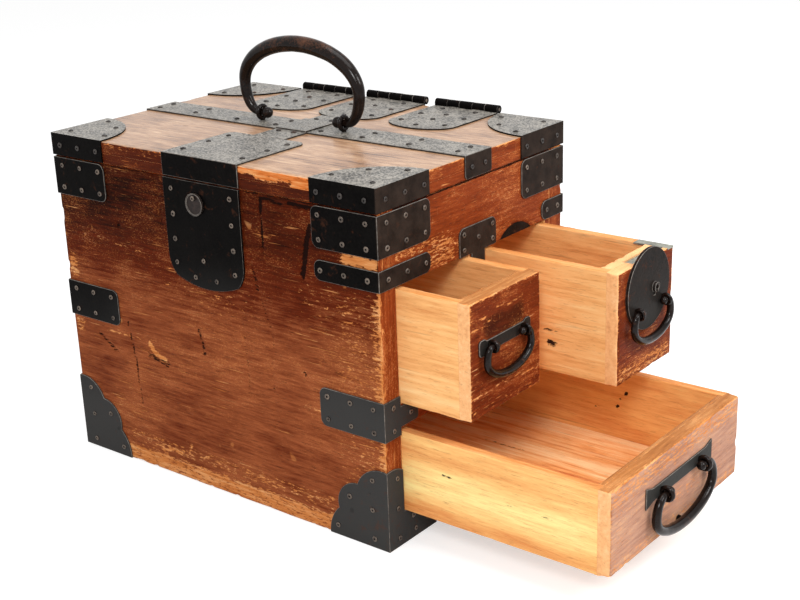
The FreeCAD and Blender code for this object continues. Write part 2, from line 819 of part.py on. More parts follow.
def make_lid():
    whole_length = (-half_length, half_length)
    rim_height = (lid_low, lid_panel_low)
    front_rim_back = -half_depth + d.lid_front_rim_width
    back_rim_front = lid_back - d.lid_rim_width
    keep("lid_panel", block("panel", whole_length, (-half_depth, lid_back), (lid_panel_low, lid_top)))
    keep("lid_front_rim", block("front_rim", whole_length, (-half_depth, front_rim_back), rim_height))
    rims = [
        block("back_rim", whole_length, (back_rim_front, lid_back), rim_height),
        slab("right_rim", RIGHT, (front_rim_back, back_rim_front), rim_height, (-d.lid_rim_width, 0)),
        slab("left_rim", LEFT, (-back_rim_front, -front_rim_back), rim_height, (-d.lid_rim_width, 0)),
    ]
    keep("lid_rims", group("rim_set", *rims))
    keep("lid_corner_irons", lid_corner_irons())
    keep("cross_strap", cross_strap())
    keep("centre_strap", centre_strap())
    keep("lid_lock_plate", lid_lock_plate())


def four_corners(name, front_right):
    """The same plate on all four corners."""
    front_left = mirrored(name + "_front_left", front_right, (1, 0, 0))
    back_right = mirrored(name + "_back_right", front_right, (0, 1, 0))
    back_left = mirrored(name + "_back_left", front_left, (0, 1, 0))
    return group(name, front_right, front_left, back_right, back_left)


def lid_corner_irons():
    """Four plates, each over the top and two sides of one corner of the lid."""
    corner_x = half_length + d.iron
    corner_y = -half_depth - d.iron
    reach = d.lid_iron_reach + d.iron
    flange_height = (lid_iron_low, iron_top)
    front = plate("lid_iron_front", FRONT, rectangle(corner_x - reach, corner_x, *flange_height), d.iron)
    side = plate("lid_iron_side", RIGHT, rectangle(corner_y, corner_y + reach, *flange_height), d.iron)
    sheet_iron = (0, d.iron)
    disc = rod("lid_iron_disc", TOP, corner_x, corner_y, sheet_iron, reach)
    along, back = (corner_x - reach, corner_x), (corner_y, corner_y + reach)
    top = common("lid_iron_top", disc, slab("lid_iron_quarter", TOP, along, back, sheet_iron))
    return four_corners("lid_irons", fuse("lid_iron", front, side, top))


def cross_strap():
    """Strap from end to end over the lid, with a tab folded down each end."""
    end = half_length + d.iron
    top = slab("strap_top", TOP, (-end, end), (strap_near, strap_far), (0, d.iron))
    right_tab = plate(
        "strap_right_tab",
        RIGHT,
        rectangle(strap_near, strap_far, lid_iron_low, iron_top),
        d.iron,
        (0, 1),
        d.iron_corner / 2,
    )
    left_tab = mirrored("strap_left_tab", right_tab, (1, 0, 0))
    return fuse("strap_whole", top, right_tab, left_tab)


def centre_strap():
    """Strap from the lock plate to the middle hinge, stepping over the cross strap."""
    across = (-d.centre_strap_width / 2, d.centre_strap_width / 2)
    front = slab("centre_front", TOP, across, (lid_plate_back, strap_near), (0, d.iron))
    over = slab("centre_over", TOP, across, (strap_near - d.iron, strap_far + d.iron), (d.iron, d.iron * 2))
    back = slab("centre_back", TOP, across, (strap_far, hinge_tip), (0, d.iron))
    return fuse("centre_whole", front, over, back)


def lid_lock_plate():
    """Plate folded over the lid's front edge, down to the seam."""
    across = (-d.lock_plate_width / 2, d.lock_plate_width / 2)
    top_outline = rectangle(*across, -half_depth - d.iron, lid_plate_back)
    top = plate("lid_plate_top", TOP, top_outline, d.iron, (2, 3), d.lid_plate_corner)
    front = plate("lid_plate_front", FRONT, rectangle(*across, lid_iron_low, iron_top), d.iron)
    return fuse("lid_plate_whole", top, front)


# Hinges

barrel_y = half_depth + d.barrel_radius
barrel_z = lid_top + d.barrel_radius
hinge_centres = {"left": -hinge_spacing, "middle": as_size(0), "right": hinge_spacing}
KNUCKLES = 5
LID_KNUCKLES = (1, 3)
CASE_KNUCKLES = (0, 2, 4)


def hinge_leaf(name, centre, face, tip_end, edge, knuckles, bore):
    """One leaf lying on the lid or the back, with its share of the knuckles."""
    half = hinge_width / 2
    pitch = hinge_width / KNUCKLES
    on_lid = face is TOP
    across = centre if on_lid else -centre
    tip = doc.addObject("Part::Ellipse", name + "_tip_curve")
    bind(tip, MajorRadius=half, MinorRadius=d.hinge_tip_depth)
    tip.Placement.Rotation = face.rotation
    move_to(tip, face.at(across, tip_end + d.hinge_tip_depth))
    tip_sheet = bind(doc.addObject("Part::Extrusion", name + "_tip"), LengthFwd=d.iron)
    tip_sheet.Base = tip
    tip_sheet.Solid = True
    tip_sheet.DirMode = "Custom"
    tip_sheet.Dir = face.out
    straight = (tip_end + d.hinge_tip_depth, edge)
    width = (across - half, across + half)
    members = [tip_sheet, slab(name + "_sheet", face, width, straight, (0, d.iron))]
    bores = []
    for number in knuckles:
        low = centre - half + pitch * number + d.knuckle_gap / 2
        high = low + pitch - d.knuckle_gap
        label = f"{name}_knuckle_{number + 1}"
        root_span = (low, high) if on_lid else (-high, -low)
        root_end = barrel_y if on_lid else barrel_z
        members.append(slab(label + "_root", face, root_span, (edge, root_end), (0, d.iron)))
        members.append(rod(label, MIDDLE, barrel_y, barrel_z, (low, high), d.barrel_radius))
        bores.append(rod(label + "_bore", MIDDLE, barrel_y, barrel_z, (low, high), bore))
    return cut(name + "_leaf", fuse(name + "_blank", *members), fuse(name + "_bores", *bores))


def make_hinges():
    lid_leaves, case_leaves, pins = [], [], []
    loose_bore = d.hinge_pin_radius + d.hinge_play
    back_tip = lid_top - d.hinge_back_length
    for label, centre in hinge_centres.items():
        lid_edge = lid_back - d.knuckle_gap
        case_edge = lid_top - d.knuckle_gap
        lid_leaves.append(
            hinge_leaf(f"lid_{label}", centre, TOP, hinge_tip, lid_edge, LID_KNUCKLES, loose_bore)
        )
        case_leaves.append(
            hinge_leaf(f"case_{label}", centre, BACK, back_tip, case_edge, CASE_KNUCKLES, d.hinge_pin_radius)
        )
        span = (centre - hinge_width / 2, centre + hinge_width / 2)
        pins.append(rod(label + "_pin", MIDDLE, barrel_y, barrel_z, span, d.hinge_pin_radius))
    keep("lid_hinge_leaves", group("lid_leaf_set", *lid_leaves))
    keep("case_hinge_leaves", group("case_leaf_set", *case_leaves))
    keep("hinge_pins", group("pin_set", *pins))


# Irons on the case


def angle_iron(name, low, high, front_reach, side_reach):
    """An angle plate round the front right edge of the case."""
    front_outline = rectangle(half_length - front_reach, half_length + d.iron, low, high)
    front = plate(name + "_front", FRONT, front_outline, d.iron, (0, 3), d.iron_corner)
    side_outline = rectangle(-half_depth - d.iron, -half_depth + side_reach, low, high)
    side = plate(name + "_side", RIGHT, side_outline, d.iron, (1, 2), d.iron_corner)
    return fuse(name, front, side)


upper_iron_high = d.body_height - d.upper_iron_drop
upper_iron_low = upper_iron_high - d.upper_iron_height
narrow_iron_low = small_bay_top + d.iron_to_bay_gap
narrow_iron_high = narrow_iron_low + d.narrow_iron_height
middle_iron_high = d.middle_iron_low + d.middle_iron_height
middle_left_high = d.middle_iron_left_low + d.middle_iron_height


def make_case_irons():
    upper = angle_iron("upper_iron", upper_iron_low, upper_iron_high, d.upper_iron_reach, d.upper_iron_reach)
    keep("upper_corner_irons", four_corners("upper_irons", upper))
    narrow_span = (narrow_iron_low, narrow_iron_high)
    narrow = angle_iron("narrow_iron", *narrow_span, d.narrow_iron_reach, d.narrow_iron_reach)
    short = angle_iron("short_iron", *narrow_span, d.narrow_iron_reach, d.narrow_iron_rear_reach)
    rear = mirrored("narrow_rear_iron", short, (0, 1, 0))
    keep("narrow_corner_irons", group("narrow_irons", narrow, rear))
    keep("middle_corner_irons", middle_irons())
    keep("bottom_corner_irons", bottom_irons())
    keep("lock_tongue_plate", lock_tongue())
    keep("partition_iron", partition_iron())


def middle_irons():
    """Angle plates at mid-height. Those at the drawer end have an arm along the middle rail."""
    low, high = d.middle_iron_low, middle_iron_high
    front_outline = rectangle(half_length - d.middle_iron_reach, half_length + d.iron, low, high)
    front = plate("middle_front", FRONT, front_outline, d.iron, (0, 3), d.iron_corner)
    edge = -half_depth - d.iron
    stile = -inner_face
    arm_end = -half_depth + d.middle_arm_reach
    arm_low = middle_rail_centre - d.middle_arm_height / 2
    arm_high = middle_rail_centre + d.middle_arm_height / 2
    side_outline = [(edge, low), (stile, low), (stile, arm_low), (arm_end, arm_low)]
    side_outline += [(arm_end, arm_high), (stile, arm_high), (stile, high), (edge, high)]
    side = plate("middle_side", RIGHT, side_outline, d.iron, (3, 4), d.iron_corner / 2)
    right_front = fuse("middle_right", front, side)
    right_back = mirrored("middle_right_back", right_front, (0, 1, 0))
    reach = d.middle_iron_reach
    plain = angle_iron("middle_plain", d.middle_iron_left_low, middle_left_high, reach, reach)
    left_front = mirrored("middle_left", plain, (1, 0, 0))
    left_back = mirrored("middle_left_back", left_front, (0, 1, 0))
    return group("middle_irons", right_front, right_back, left_front, left_back)


# Centres of the three lobes of a plate at the foot: distance from the corner of the case, height.
TOP_LOBE = (5.0, 47.5)
MIDDLE_LOBE = (32.5, 34.0)
LOW_LOBE = (30.0, 1.0)


def scalloped_flange(name, face, corner, inward):
    """A flange whose edge is three round lobes, from a corner of the case along one side."""
    sheet_iron = (0, d.iron)
    radii = (d.scallop_top_radius, d.scallop_middle_radius, d.scallop_low_radius)
    members = []
    for number, (centre, radius) in enumerate(zip((TOP_LOBE, MIDDLE_LOBE, LOW_LOBE), radii), start=1):
        along, height = centre
        lobe = rod(f"{name}_lobe_{number}", face, corner + along * inward, height, sheet_iron, radius)
        members.append(lobe)
    outer = corner - d.iron * inward
    filling = (outer, corner + MIDDLE_LOBE[0] * inward)
    members.append(slab(name + "_filling", face, filling, (0, TOP_LOBE[1]), sheet_iron))
    limit = foot_limit()
    quadrant = slab(name + "_quadrant", face, (outer, corner + limit * inward), (0, limit), sheet_iron)
    return common(name, fuse(name + "_lobes", *members), quadrant)


def foot_limit():
    """A distance beyond every lobe."""
    return d.scallop_low_radius * 3


def bottom_irons():
    """Scalloped plates at the feet. At the drawer end they follow the stile and the bottom rail."""
    front = scalloped_flange("foot_front", FRONT, half_length, -1)
    side = scalloped_flange("foot_side", RIGHT, -half_depth, 1)
    edge, stile, reach = -half_depth - d.iron, -inner_face, -half_depth + foot_limit()
    outline = [(edge, 0), (reach, 0), (reach, wide_bay_floor), (stile, wide_bay_floor)]
    outline += [(stile, foot_limit()), (edge, foot_limit())]
    open_side = common("foot_open_side", side, plate("foot_frame", RIGHT, outline, d.iron))
    right_front = fuse("foot_right", front, open_side)
    right_back = mirrored("foot_right_back", right_front, (0, 1, 0))
    left_front = mirrored("foot_left", fuse("foot_plain", front, side), (1, 0, 0))
    left_back = mirrored("foot_left_back", left_front, (0, 1, 0))
    return group("feet", right_front, right_back, left_front, left_back)


tongue_high = d.body_height - d.upper_iron_drop / 2
tongue_low = tongue_high - d.tongue_length


def lock_tongue():
    """The long lock plate on the front, round at its lower end."""
    half = d.lock_plate_width / 2
    thickness = (0, d.tongue_thickness)
    outline = rectangle(-half, half, tongue_low, tongue_high)
    blank = plate("tongue_sheet", FRONT, outline, d.tongue_thickness, (0, 1), d.tongue_corner)
    curve_centre = tongue_low + d.tongue_end_radius
    end_curve = rod("tongue_curve", FRONT, 0, curve_centre, thickness, d.tongue_end_radius)
    return cut("tongue_cut", common("tongue_blank", blank, end_curve), lid_keyhole("tongue_keyhole"))


def partition_iron():
    """Plate on the top rail with a tab down the partition's end."""
    centre, low = partition_centre, small_bay_top
    half, half_tab = d.partition_iron_width / 2, d.partition_tab_width / 2
    tab_low = low - d.partition_tab_length
    high = low + d.partition_iron_height
    outline = [(centre - half, low), (centre - half_tab, low), (centre - half_tab, tab_low)]
    outline += [(centre + half_tab, tab_low), (centre + half_tab, low), (centre + half, low)]
    outline += [(centre + half, high), (centre - half, high)]
    return plate("partition_plate", RIGHT, outline, d.iron, (6, 7), d.iron_corner)


# Lock of the lid and the cover over its keyhole

cover_back = d.tongue_thickness + d.seam_gap / 2
cover_front = cover_back + d.cover_thickness
cover_pin_height = cover_centre_z + d.cover_pin_rise


def make_keyhole_cover():
    """A dished disc that hangs from a rivet over the keyhole and swings aside."""
    x, z = d.cover_centre_x, cover_centre_z
    disc = rod("cover_disc", FRONT, x, z, (cover_back, cover_front), d.cover_radius)
    dish_span = (cover_front - d.cover_dish_depth, cover_front)
    dish = rod("cover_dish", FRONT, x, z, dish_span, d.cover_dish_radius)
    bore = d.cover_pin_radius + d.hinge_play
    hole = rod("cover_hole", FRONT, x, cover_pin_height, (cover_back, cover_front), bore)
    keep("keyhole_cover", cut("cover_cut", disc, fuse("cover_hollows", dish, hole)))


def cover_rivet():
    """The rivet that the keyhole cover swings on, driven through the lock plate."""
    x = d.cover_centre_x
    head_back = cover_front + d.seam_gap / 2
    pin = rod("rivet_pin", FRONT, x, cover_pin_height, (-d.nail_in_wood, head_back), d.cover_pin_radius)
    head_span = (head_back, head_back + d.cover_pin_head_height)
    head = rod("rivet_head", FRONT, x, cover_pin_height, head_span, d.cover_pin_head_radius)
    return fuse("cover_rivet", pin, head)


def make_lid_lock():
    """Lock case behind the front board, with a bolt that slides across into the lid's staple."""
    half = d.lid_lock_width / 2
    back = -inner_face
    case_high = d.body_height - d.lid_lock_drop
    case_span = (case_high - d.lid_lock_height, case_high)
    blank = block("lid_lock_blank", (-half, half), (back, back + d.lid_lock_depth), case_span)

    half_staple = d.staple_thickness / 2
    staple_near = back + d.staple_play
    staple_far = staple_near + d.staple_width
    staple_middle = (staple_near + staple_far) / 2
    staple_low = lid_low - d.staple_length
    hole_low = staple_low + d.staple_thickness
    half_hole = d.staple_hole_width / 2
    staple_span = (-half_staple, half_staple)
    staple_blank = block("staple_blank", staple_span, (staple_near, staple_far), (staple_low, lid_low))
    staple_hole = block(
        "staple_hole",
        staple_span,
        (staple_middle - half_hole, staple_middle + half_hole),
        (hole_low, hole_low + d.staple_hole_height),
    )
    keep("lid_staple", cut("staple_cut", staple_blank, staple_hole))

    pocket_side = half_staple + d.staple_clearance
    pocket = block(
        "staple_pocket",
        (-pocket_side, pocket_side),
        (back, staple_far + d.staple_clearance),
        (staple_low - d.staple_clearance, case_high),
    )
    tip = -pocket_side - d.bolt_play
    bolt_z = hole_low + d.staple_hole_height / 2

    def bolt_block(name, play, travel):
        half_wide = d.lid_bolt_width / 2 + play
        half_high = d.lid_bolt_height / 2 + play
        return block(
            name,
            (tip - d.lid_bolt_length - play, tip + travel + play),
            (staple_middle - half_wide, staple_middle + half_wide),
            (bolt_z - half_high, bolt_z + half_high),
        )

    channel = bolt_block("lid_bolt_channel", d.bolt_play, d.lid_bolt_travel)
    hollows = fuse("lid_lock_hollows", pocket, channel, lid_keyhole("lock_case_keyhole"))
    keep("lid_lock_case", cut("lid_lock_cut", blank, hollows))
    keep("lid_lock_bolt", bolt_block("lid_bolt", 0, 0))


# Nails. Columns are distances from a corner of the case, rows are distances from the middle of a plate.

COLUMNS = (10.5, 36.0, 62.0)
ROW = 10.8
# Nails of a hinge leaf stand this far each side of its middle.
leaf_column = hinge_width / 2 - 12.0


class Nailing:
    """Collects where the nails of one body go, then drives them."""

    def __init__(self):
        self.nails = []

    def drive(self, face, spots, thickness=None):
        """Add nails on one side, each at its distances across and up that side."""
        through = as_size(thickness or d.iron)
        for across, up in spots:
            foot = V(*(value.number for value in face.at(across, up, through)))
            nail = nail_solid(through.number)
            nail.Placement = FreeCAD.Placement(foot, face.rotation)
            self.nails.append(nail)


def nail_solid(through):
    """A domed nail standing on the surface of a plate of the given thickness."""
    radius, height = d.nail_head_radius.number, d.nail_head_height.number
    ball = (radius**2 + height**2) / (2 * height)
    cap_start = math.degrees(math.asin((ball - height) / ball))
    cap = Part.makeSphere(ball, V(0, 0, height - ball), V(0, 0, 1), cap_start, 90, 360)
    depth = through + d.nail_in_wood.number
    return cap.fuse(Part.makeCylinder(d.nail_shank_radius.number, depth, V(0, 0, -depth)))


def grid(columns, rows):
    return [(column, row) for column in columns for row in rows]


def columns_at(face, side, distances=COLUMNS):
    """Nail columns counted from one end of a side, the end chosen by its sign."""
    half = half_length if face in (FRONT, BACK, TOP) else half_depth
    return [(half - away) * side for away in distances]


def make_case_nails():
    nailing = Nailing()
    upper_middle = (upper_iron_low + upper_iron_high) / 2
    narrow_middle = (narrow_iron_low + narrow_iron_high) / 2
    right_middle = (d.middle_iron_low + middle_iron_high) / 2
    left_middle = (d.middle_iron_left_low + middle_left_high) / 2
    right_rows = (right_middle - ROW, right_middle + ROW)
    left_rows = (left_middle - ROW, left_middle + ROW)
    foot = ((15.0, 66.0), (42.0, 43.0), (16.0, 37.0), (57.0, 10.0), (15.0, 9.0))
    open_foot = ((12.0, 67.0), (12.0, 38.0), (13.0, 8.5), (36.0, 8.5), (33.0, 23.0))
    for face in (FRONT, RIGHT, BACK, LEFT):
        half = half_length if face in (FRONT, BACK) else half_depth
        for side in (-1, 1):
            nailing.drive(face, grid(columns_at(face, side), (upper_middle - ROW, upper_middle + ROW)))
            spots = open_foot if face is RIGHT else foot
            nailing.drive(face, [((half - away) * side, up) for away, up in spots])

    nailing.drive(FRONT, grid(columns_at(FRONT, 1), (narrow_middle,)))
    nailing.drive(BACK, grid(columns_at(BACK, -1), (narrow_middle,)))
    nailing.drive(RIGHT, grid(columns_at(RIGHT, -1), (narrow_middle,)))
    nailing.drive(RIGHT, grid(columns_at(RIGHT, 1, (9.5, 28.0)), (narrow_middle,)))

    nailing.drive(FRONT, grid(columns_at(FRONT, 1), right_rows))
    nailing.drive(BACK, grid(columns_at(BACK, -1), right_rows))
    nailing.drive(FRONT, grid(columns_at(FRONT, -1), left_rows))
    nailing.drive(BACK, grid(columns_at(BACK, 1), left_rows))
    for side in (-1, 1):
        nailing.drive(LEFT, grid(columns_at(LEFT, side), left_rows))
        stile = (half_depth - d.face_board / 2) * side
        arm = (half_depth - d.middle_arm_reach + ROW) * side
        nailing.drive(RIGHT, grid((stile,), right_rows) + [(arm, middle_rail_centre)])

    side_column = d.lock_plate_width / 2 - COLUMNS[0]
    tongue_rows = [tongue_low + up for up in (20.5, 43.0, 66.5, 90.5)]
    tongue_end = [(-14.0, tongue_low + 9.5), (13.0, tongue_low + 10.0), (-2.0, tongue_low + 27.0)]
    nailing.drive(FRONT, grid((-side_column, side_column), tongue_rows) + tongue_end, d.tongue_thickness)

    plate_middle = small_bay_top + d.partition_iron_height / 2
    plate_spots = grid((-22.0, 22.0), (-7.0, 7.0)) + [(0.0, 0.0)]
    nailing.drive(RIGHT, [(partition_centre + across, plate_middle + up) for across, up in plate_spots])

    back_tip = lid_top - d.hinge_back_length
    leaf = grid((-leaf_column, leaf_column), (25.0, 45.0))
    leaf += [(0.0, 14.0), (0.0, 35.0), (-leaf_column / 2, 51.5), (leaf_column / 2, 51.5)]
    for centre in hinge_centres.values():
        nailing.drive(BACK, [(centre + across, back_tip + up) for across, up in leaf])

    rivet = cover_rivet()
    doc.recompute()
    keep("case_nails", solid_group("case_nail_set", nailing.nails + rivet.Shape.Solids))


def make_lid_nails():
    nailing = Nailing()
    edge_level = lid_top - d.lid_iron_drop / 2
    # Nails on the top of a corner plate: distance from the corner of the lid and angle from its front edge.
    fan = ((60.0, 14.0), (60.0, 46.0), (60.0, 78.0), (17.0, 45.0))
    for side in (-1, 1):
        for face in (FRONT, RIGHT, BACK, LEFT):
            nailing.drive(face, grid(columns_at(face, side), (edge_level,)))
        for rank in (-1, 1):
            for distance, angle in fan:
                along = distance * math.cos(math.radians(angle))
                back = distance * math.sin(math.radians(angle))
                nailing.drive(TOP, [((half_length - along) * side, (half_depth - back) * rank)])

    for face, side in ((RIGHT, 1), (LEFT, -1)):
        nailing.drive(face, [(d.cross_strap_centre * side + across, edge_level) for across in (-10.5, 9.5)])
    near_row = d.cross_strap_centre - 9.5
    far_row = d.cross_strap_centre + 9.5
    left_end = [-half_length + away for away in (8.0, 60.0)]
    right_end = [half_length - away for away in (122.0, 68.0, 14.0)]
    nailing.drive(TOP, grid(left_end + right_end, (near_row, far_row)))
    nailing.drive(TOP, [(-82.0, near_row), (-30.0, near_row), (-27.0, far_row), (28.0, near_row)])
    strap_nails = [(-10.0, strap_near - 7.0), (8.0, strap_near - 6.0), (-11.0, strap_far + 8.0)]
    nailing.drive(TOP, strap_nails + [(8.0, strap_far + 9.0)])
    side_column = d.lock_plate_width / 2 - COLUMNS[0]
    plate_rows = [lid_plate_back - away for away in (15.0, 41.0, 73.0)]
    nailing.drive(TOP, grid((-side_column, side_column), plate_rows))
    leaf = grid((-leaf_column, leaf_column), (23.0, 54.0)) + [(0.0, 12.0), (0.0, 39.0), (0.0, 61.0)]
    # The last two nails stand in from the edge by the hinge, clear of the knuckles.
    edge_row = d.hinge_leaf_length - 11.0
    leaf += [(-leaf_column * 0.77, edge_row), (leaf_column * 0.77, edge_row)]
    for centre in hinge_centres.values():
        nailing.drive(TOP, [(centre + across, hinge_tip + up) for across, up in leaf])
    keep("lid_nails", solid_group("lid_nail_set", nailing.nails))


def check_and_export():
    """Stop if anything failed, then write one file for each sub-part."""
    doc.recompute()
    failed = [item.Name for item in doc.Objects if "Invalid" in item.State or "Error" in item.State]
    if failed:
        raise RuntimeError(f"failed objects: {failed}")
    os.makedirs("parts", exist_ok=True)
    for part in subparts:
        shape = part.Shape
        if shape.isNull() or not shape.isValid() or not shape.Solids:
            raise RuntimeError(f"bad shape: {part.Label}")
        shape.exportStep(f"parts/{part.Label}.step")
        print(f"{part.Label}: {len(shape.Solids)} solids, {shape.Volume:.0f} mm3")
    print(len(subparts), "sub-parts")


make_case()
make_small_drawer()
make_lock_drawer()
make_wide_drawer()
make_lid()
make_hinges()
make_lid_handle()
make_case_irons()
make_keyhole_cover()
make_lid_lock()
make_case_nails()
make_lid_nails()
check_and_export()
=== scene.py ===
import itertools
import json
import math

import bmesh
import bpy
import numpy as np
from mathutils import Matrix, Vector

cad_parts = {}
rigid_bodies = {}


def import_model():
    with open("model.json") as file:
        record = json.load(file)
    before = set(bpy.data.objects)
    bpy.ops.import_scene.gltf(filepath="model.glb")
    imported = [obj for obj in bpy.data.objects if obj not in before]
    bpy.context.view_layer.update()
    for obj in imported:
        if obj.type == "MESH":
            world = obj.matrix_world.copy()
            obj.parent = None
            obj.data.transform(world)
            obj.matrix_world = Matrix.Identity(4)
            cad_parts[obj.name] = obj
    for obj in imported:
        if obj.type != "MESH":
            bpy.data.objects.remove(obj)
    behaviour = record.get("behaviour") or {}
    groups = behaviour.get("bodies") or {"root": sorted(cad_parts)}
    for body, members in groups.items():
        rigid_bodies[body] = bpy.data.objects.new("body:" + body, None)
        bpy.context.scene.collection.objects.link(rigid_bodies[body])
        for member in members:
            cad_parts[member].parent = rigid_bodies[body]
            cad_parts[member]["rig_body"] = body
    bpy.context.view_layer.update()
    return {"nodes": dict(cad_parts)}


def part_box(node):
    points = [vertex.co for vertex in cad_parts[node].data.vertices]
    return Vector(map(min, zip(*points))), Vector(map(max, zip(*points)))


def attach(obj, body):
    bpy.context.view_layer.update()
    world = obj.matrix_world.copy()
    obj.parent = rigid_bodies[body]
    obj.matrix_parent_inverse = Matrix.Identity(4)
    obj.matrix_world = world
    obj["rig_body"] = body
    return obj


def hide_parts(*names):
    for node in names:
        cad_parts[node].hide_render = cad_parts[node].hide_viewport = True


# Travel chest of iron-bound wood. Everything is in metres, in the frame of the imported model:
# X runs along the front to the drawer end, Y from the front to the back, Z is up.

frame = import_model()
MM = 0.001


# Steady random values


def cell_value(cells, seed):
    """A steady number from 0 to 1 for each whole-numbered cell."""
    mixed = cells[..., 0] * 374761393 + cells[..., 1] * 668265263 + cells[..., 2] * 912271 + seed * 1442695
    mixed = (mixed ^ (mixed >> 13)) * 1274126177
    return ((mixed ^ (mixed >> 16)) & 0xFFFFFF) / float(0xFFFFFF)


def waver(points, size, seed):
    """Smooth unevenness from 0 to 1 over points, with swells of about the given size."""
    scaled = np.asarray(points, float) / size
    base = np.floor(scaled).astype(np.int64)
    part = scaled - base
    part = part * part * (3 - 2 * part)
    total = 0.0
    for corner in itertools.product((0, 1), repeat=3):
        share = np.prod(np.where(corner, part, 1 - part), axis=1)
        total = total + share * cell_value(base + np.array(corner), seed)
    return total


def ramp_between(values, low, high):
    """Rises smoothly from 0 at low to 1 at high."""
    part = np.clip((values - low) / (high - low), 0, 1)
    return part * part * (3 - 2 * part)


# Shader sums


def tint(red, green, blue):
    """A colour as it looks on paper, 0 to 255, made linear."""
    def straight(level):
        level = level / 255
        return level / 12.92 if level <= 0.04045 else ((level + 0.055) / 1.055) ** 2.4

    return (straight(red), straight(green), straight(blue), 1.0)


class Value:
    """A node's output that takes part in sums."""

    def __init__(self, nodes, socket):
        self.nodes = nodes
        self.socket = socket

    def math(self, operation, *terms):
        return self.nodes.node("ShaderNodeMath", {"operation": operation}, dict(enumerate(terms)))

    def __add__(self, other):
        return self.math("ADD", self, other)

    __radd__ = __add__

    def __mul__(self, other):
        return self.math("MULTIPLY", self, other)

    def __sub__(self, other):
        return self.math("SUBTRACT", self, other)

    def __rsub__(self, other):
        return self.math("SUBTRACT", other, self)

    def between(self, low, high):
        """Rises smoothly from 0 at low to 1 at high."""
        settings = {"interpolation_type": "SMOOTHSTEP"}
        return self.nodes.node("ShaderNodeMapRange", settings, {"Value": self, 1: low, 2: high})

    def held(self):
        """Kept from 0 to 1."""
        return self.nodes.node("ShaderNodeClamp", {}, {"Value": self})

    def sine(self):
        return self.math("SINE", self)


class Nodes:
    """The node tree of a material or of the world."""

    def __init__(self, tree):
        self.tree = tree

    def feed(self, socket, value):
        """Give an input a fixed value, or the link of a Value."""
        if isinstance(value, Value):
            self.tree.links.new(value.socket, socket)
        else:
            socket.default_value = value

    def node(self, kind, settings=None, inputs=None, output=0):
        """Add a node with its settings and its inputs."""
        made = self.tree.nodes.new(kind)
        for key, value in (settings or {}).items():
            setattr(made, key, value)
        for key, value in (inputs or {}).items():
            self.feed(made.inputs[key], value)
        return Value(self, made.outputs[output])

    def watched(self):
        """1 for what the camera sees, also in reflections and through glass, and 0 for light on surfaces."""
        camera, glossy, through = (
            self.node("ShaderNodeLightPath", output=ray)
            for ray in ("Is Camera Ray", "Is Glossy Ray", "Is Transmission Ray")
        )
        return (camera + glossy + through).held()


class Finish(Nodes):
    """One procedural material."""

    def __init__(self, name):
        self.material = bpy.data.materials.new(name)
        self.material.use_nodes = True
        super().__init__(self.material.node_tree)
        self.surface = self.tree.nodes["Principled BSDF"]
        self.spot = self.node("ShaderNodeTexCoord", output="Object")

    def mark(self, name):
        """A value stored on the points of the mesh."""
        return self.node("ShaderNodeAttribute", {"attribute_name": name}, output="Fac")

    def stretched(self, place, factors):
        """A position with each direction scaled by its own factor."""
        settings = {"operation": "MULTIPLY"}
        return self.node("ShaderNodeVectorMath", settings, {0: place, 1: factors})

    def shifted(self, place, amount):
        """A position moved by a value times a fixed odd direction."""
        settings = {"operation": "MULTIPLY_ADD"}
        equal = self.node("ShaderNodeCombineXYZ", {}, dict.fromkeys("XYZ", amount))
        return self.node("ShaderNodeVectorMath", settings, {0: equal, 1: (3.1, 7.7, 5.3), 2: place})

    def slanted(self, turn, factors):
        """The object's own position turned, then scaled along each direction."""
        return self.node("ShaderNodeMapping", {}, {"Vector": self.spot, "Rotation": turn, "Scale": factors})

    def noise(self, place, scale, detail=3.0, roughness=0.6, distortion=0.0):
        terms = {"Vector": place, "Scale": scale, "Detail": detail, "Roughness": roughness}
        return self.node("ShaderNodeTexNoise", {}, {**terms, "Distortion": distortion})

    def parts(self, place):
        """The x, y and z of a position."""
        split = self.node("ShaderNodeSeparateXYZ", {}, {0: place})
        return [Value(self, output) for output in split.socket.node.outputs]

    def mix(self, share, first, second):
        """Two colours mixed."""
        terms = {0: share, 6: first, 7: second}
        return self.node("ShaderNodeMix", {"data_type": "RGBA"}, terms, output=2)

    def steps(self, value, stops):
        """A colour looked up along a row of stops."""
        found = self.node("ShaderNodeValToRGB", {}, {0: value})
        ramp = found.socket.node.color_ramp
        while len(ramp.elements) < len(stops):
            ramp.elements.new(0.5)
        for element, (place, colour) in zip(ramp.elements, stops):
            element.position = place
            element.color = colour
        return found

    def relief(self, height, depth):
        """Shallow relief under the shading, depth in metres."""
        return self.node("ShaderNodeBump", {}, {"Height": height, "Distance": depth, "Strength": 1.0})

    def set(self, **sockets):
        """Give the surface its values: underscores stand for spaces."""
        for key, value in sockets.items():
            self.feed(self.surface.inputs[key.replace("_", " ")], value)
        return self.material


# Finishes

# How much closer the grain varies across a board than along it, for long and for short figures.
ALONG = {"x": (1, 14, 14), "y": (14, 1, 14), "z": (14, 14, 1)}
SHORT = {"x": (4, 14, 14), "y": (14, 4, 14), "z": (14, 14, 4)}

SOIL = tint(120, 62, 30)
KNOT = tint(44, 24, 16)
# Near black for scars, and for the painted shadow in the seam under the lid.
SCAR_AND_SEAM_SHADOW = tint(20, 10, 8)
RUST = tint(84, 50, 34)
RUBBED_IRON = tint(92, 58, 40)
RUBBED_END_IRON = tint(60, 48, 41)


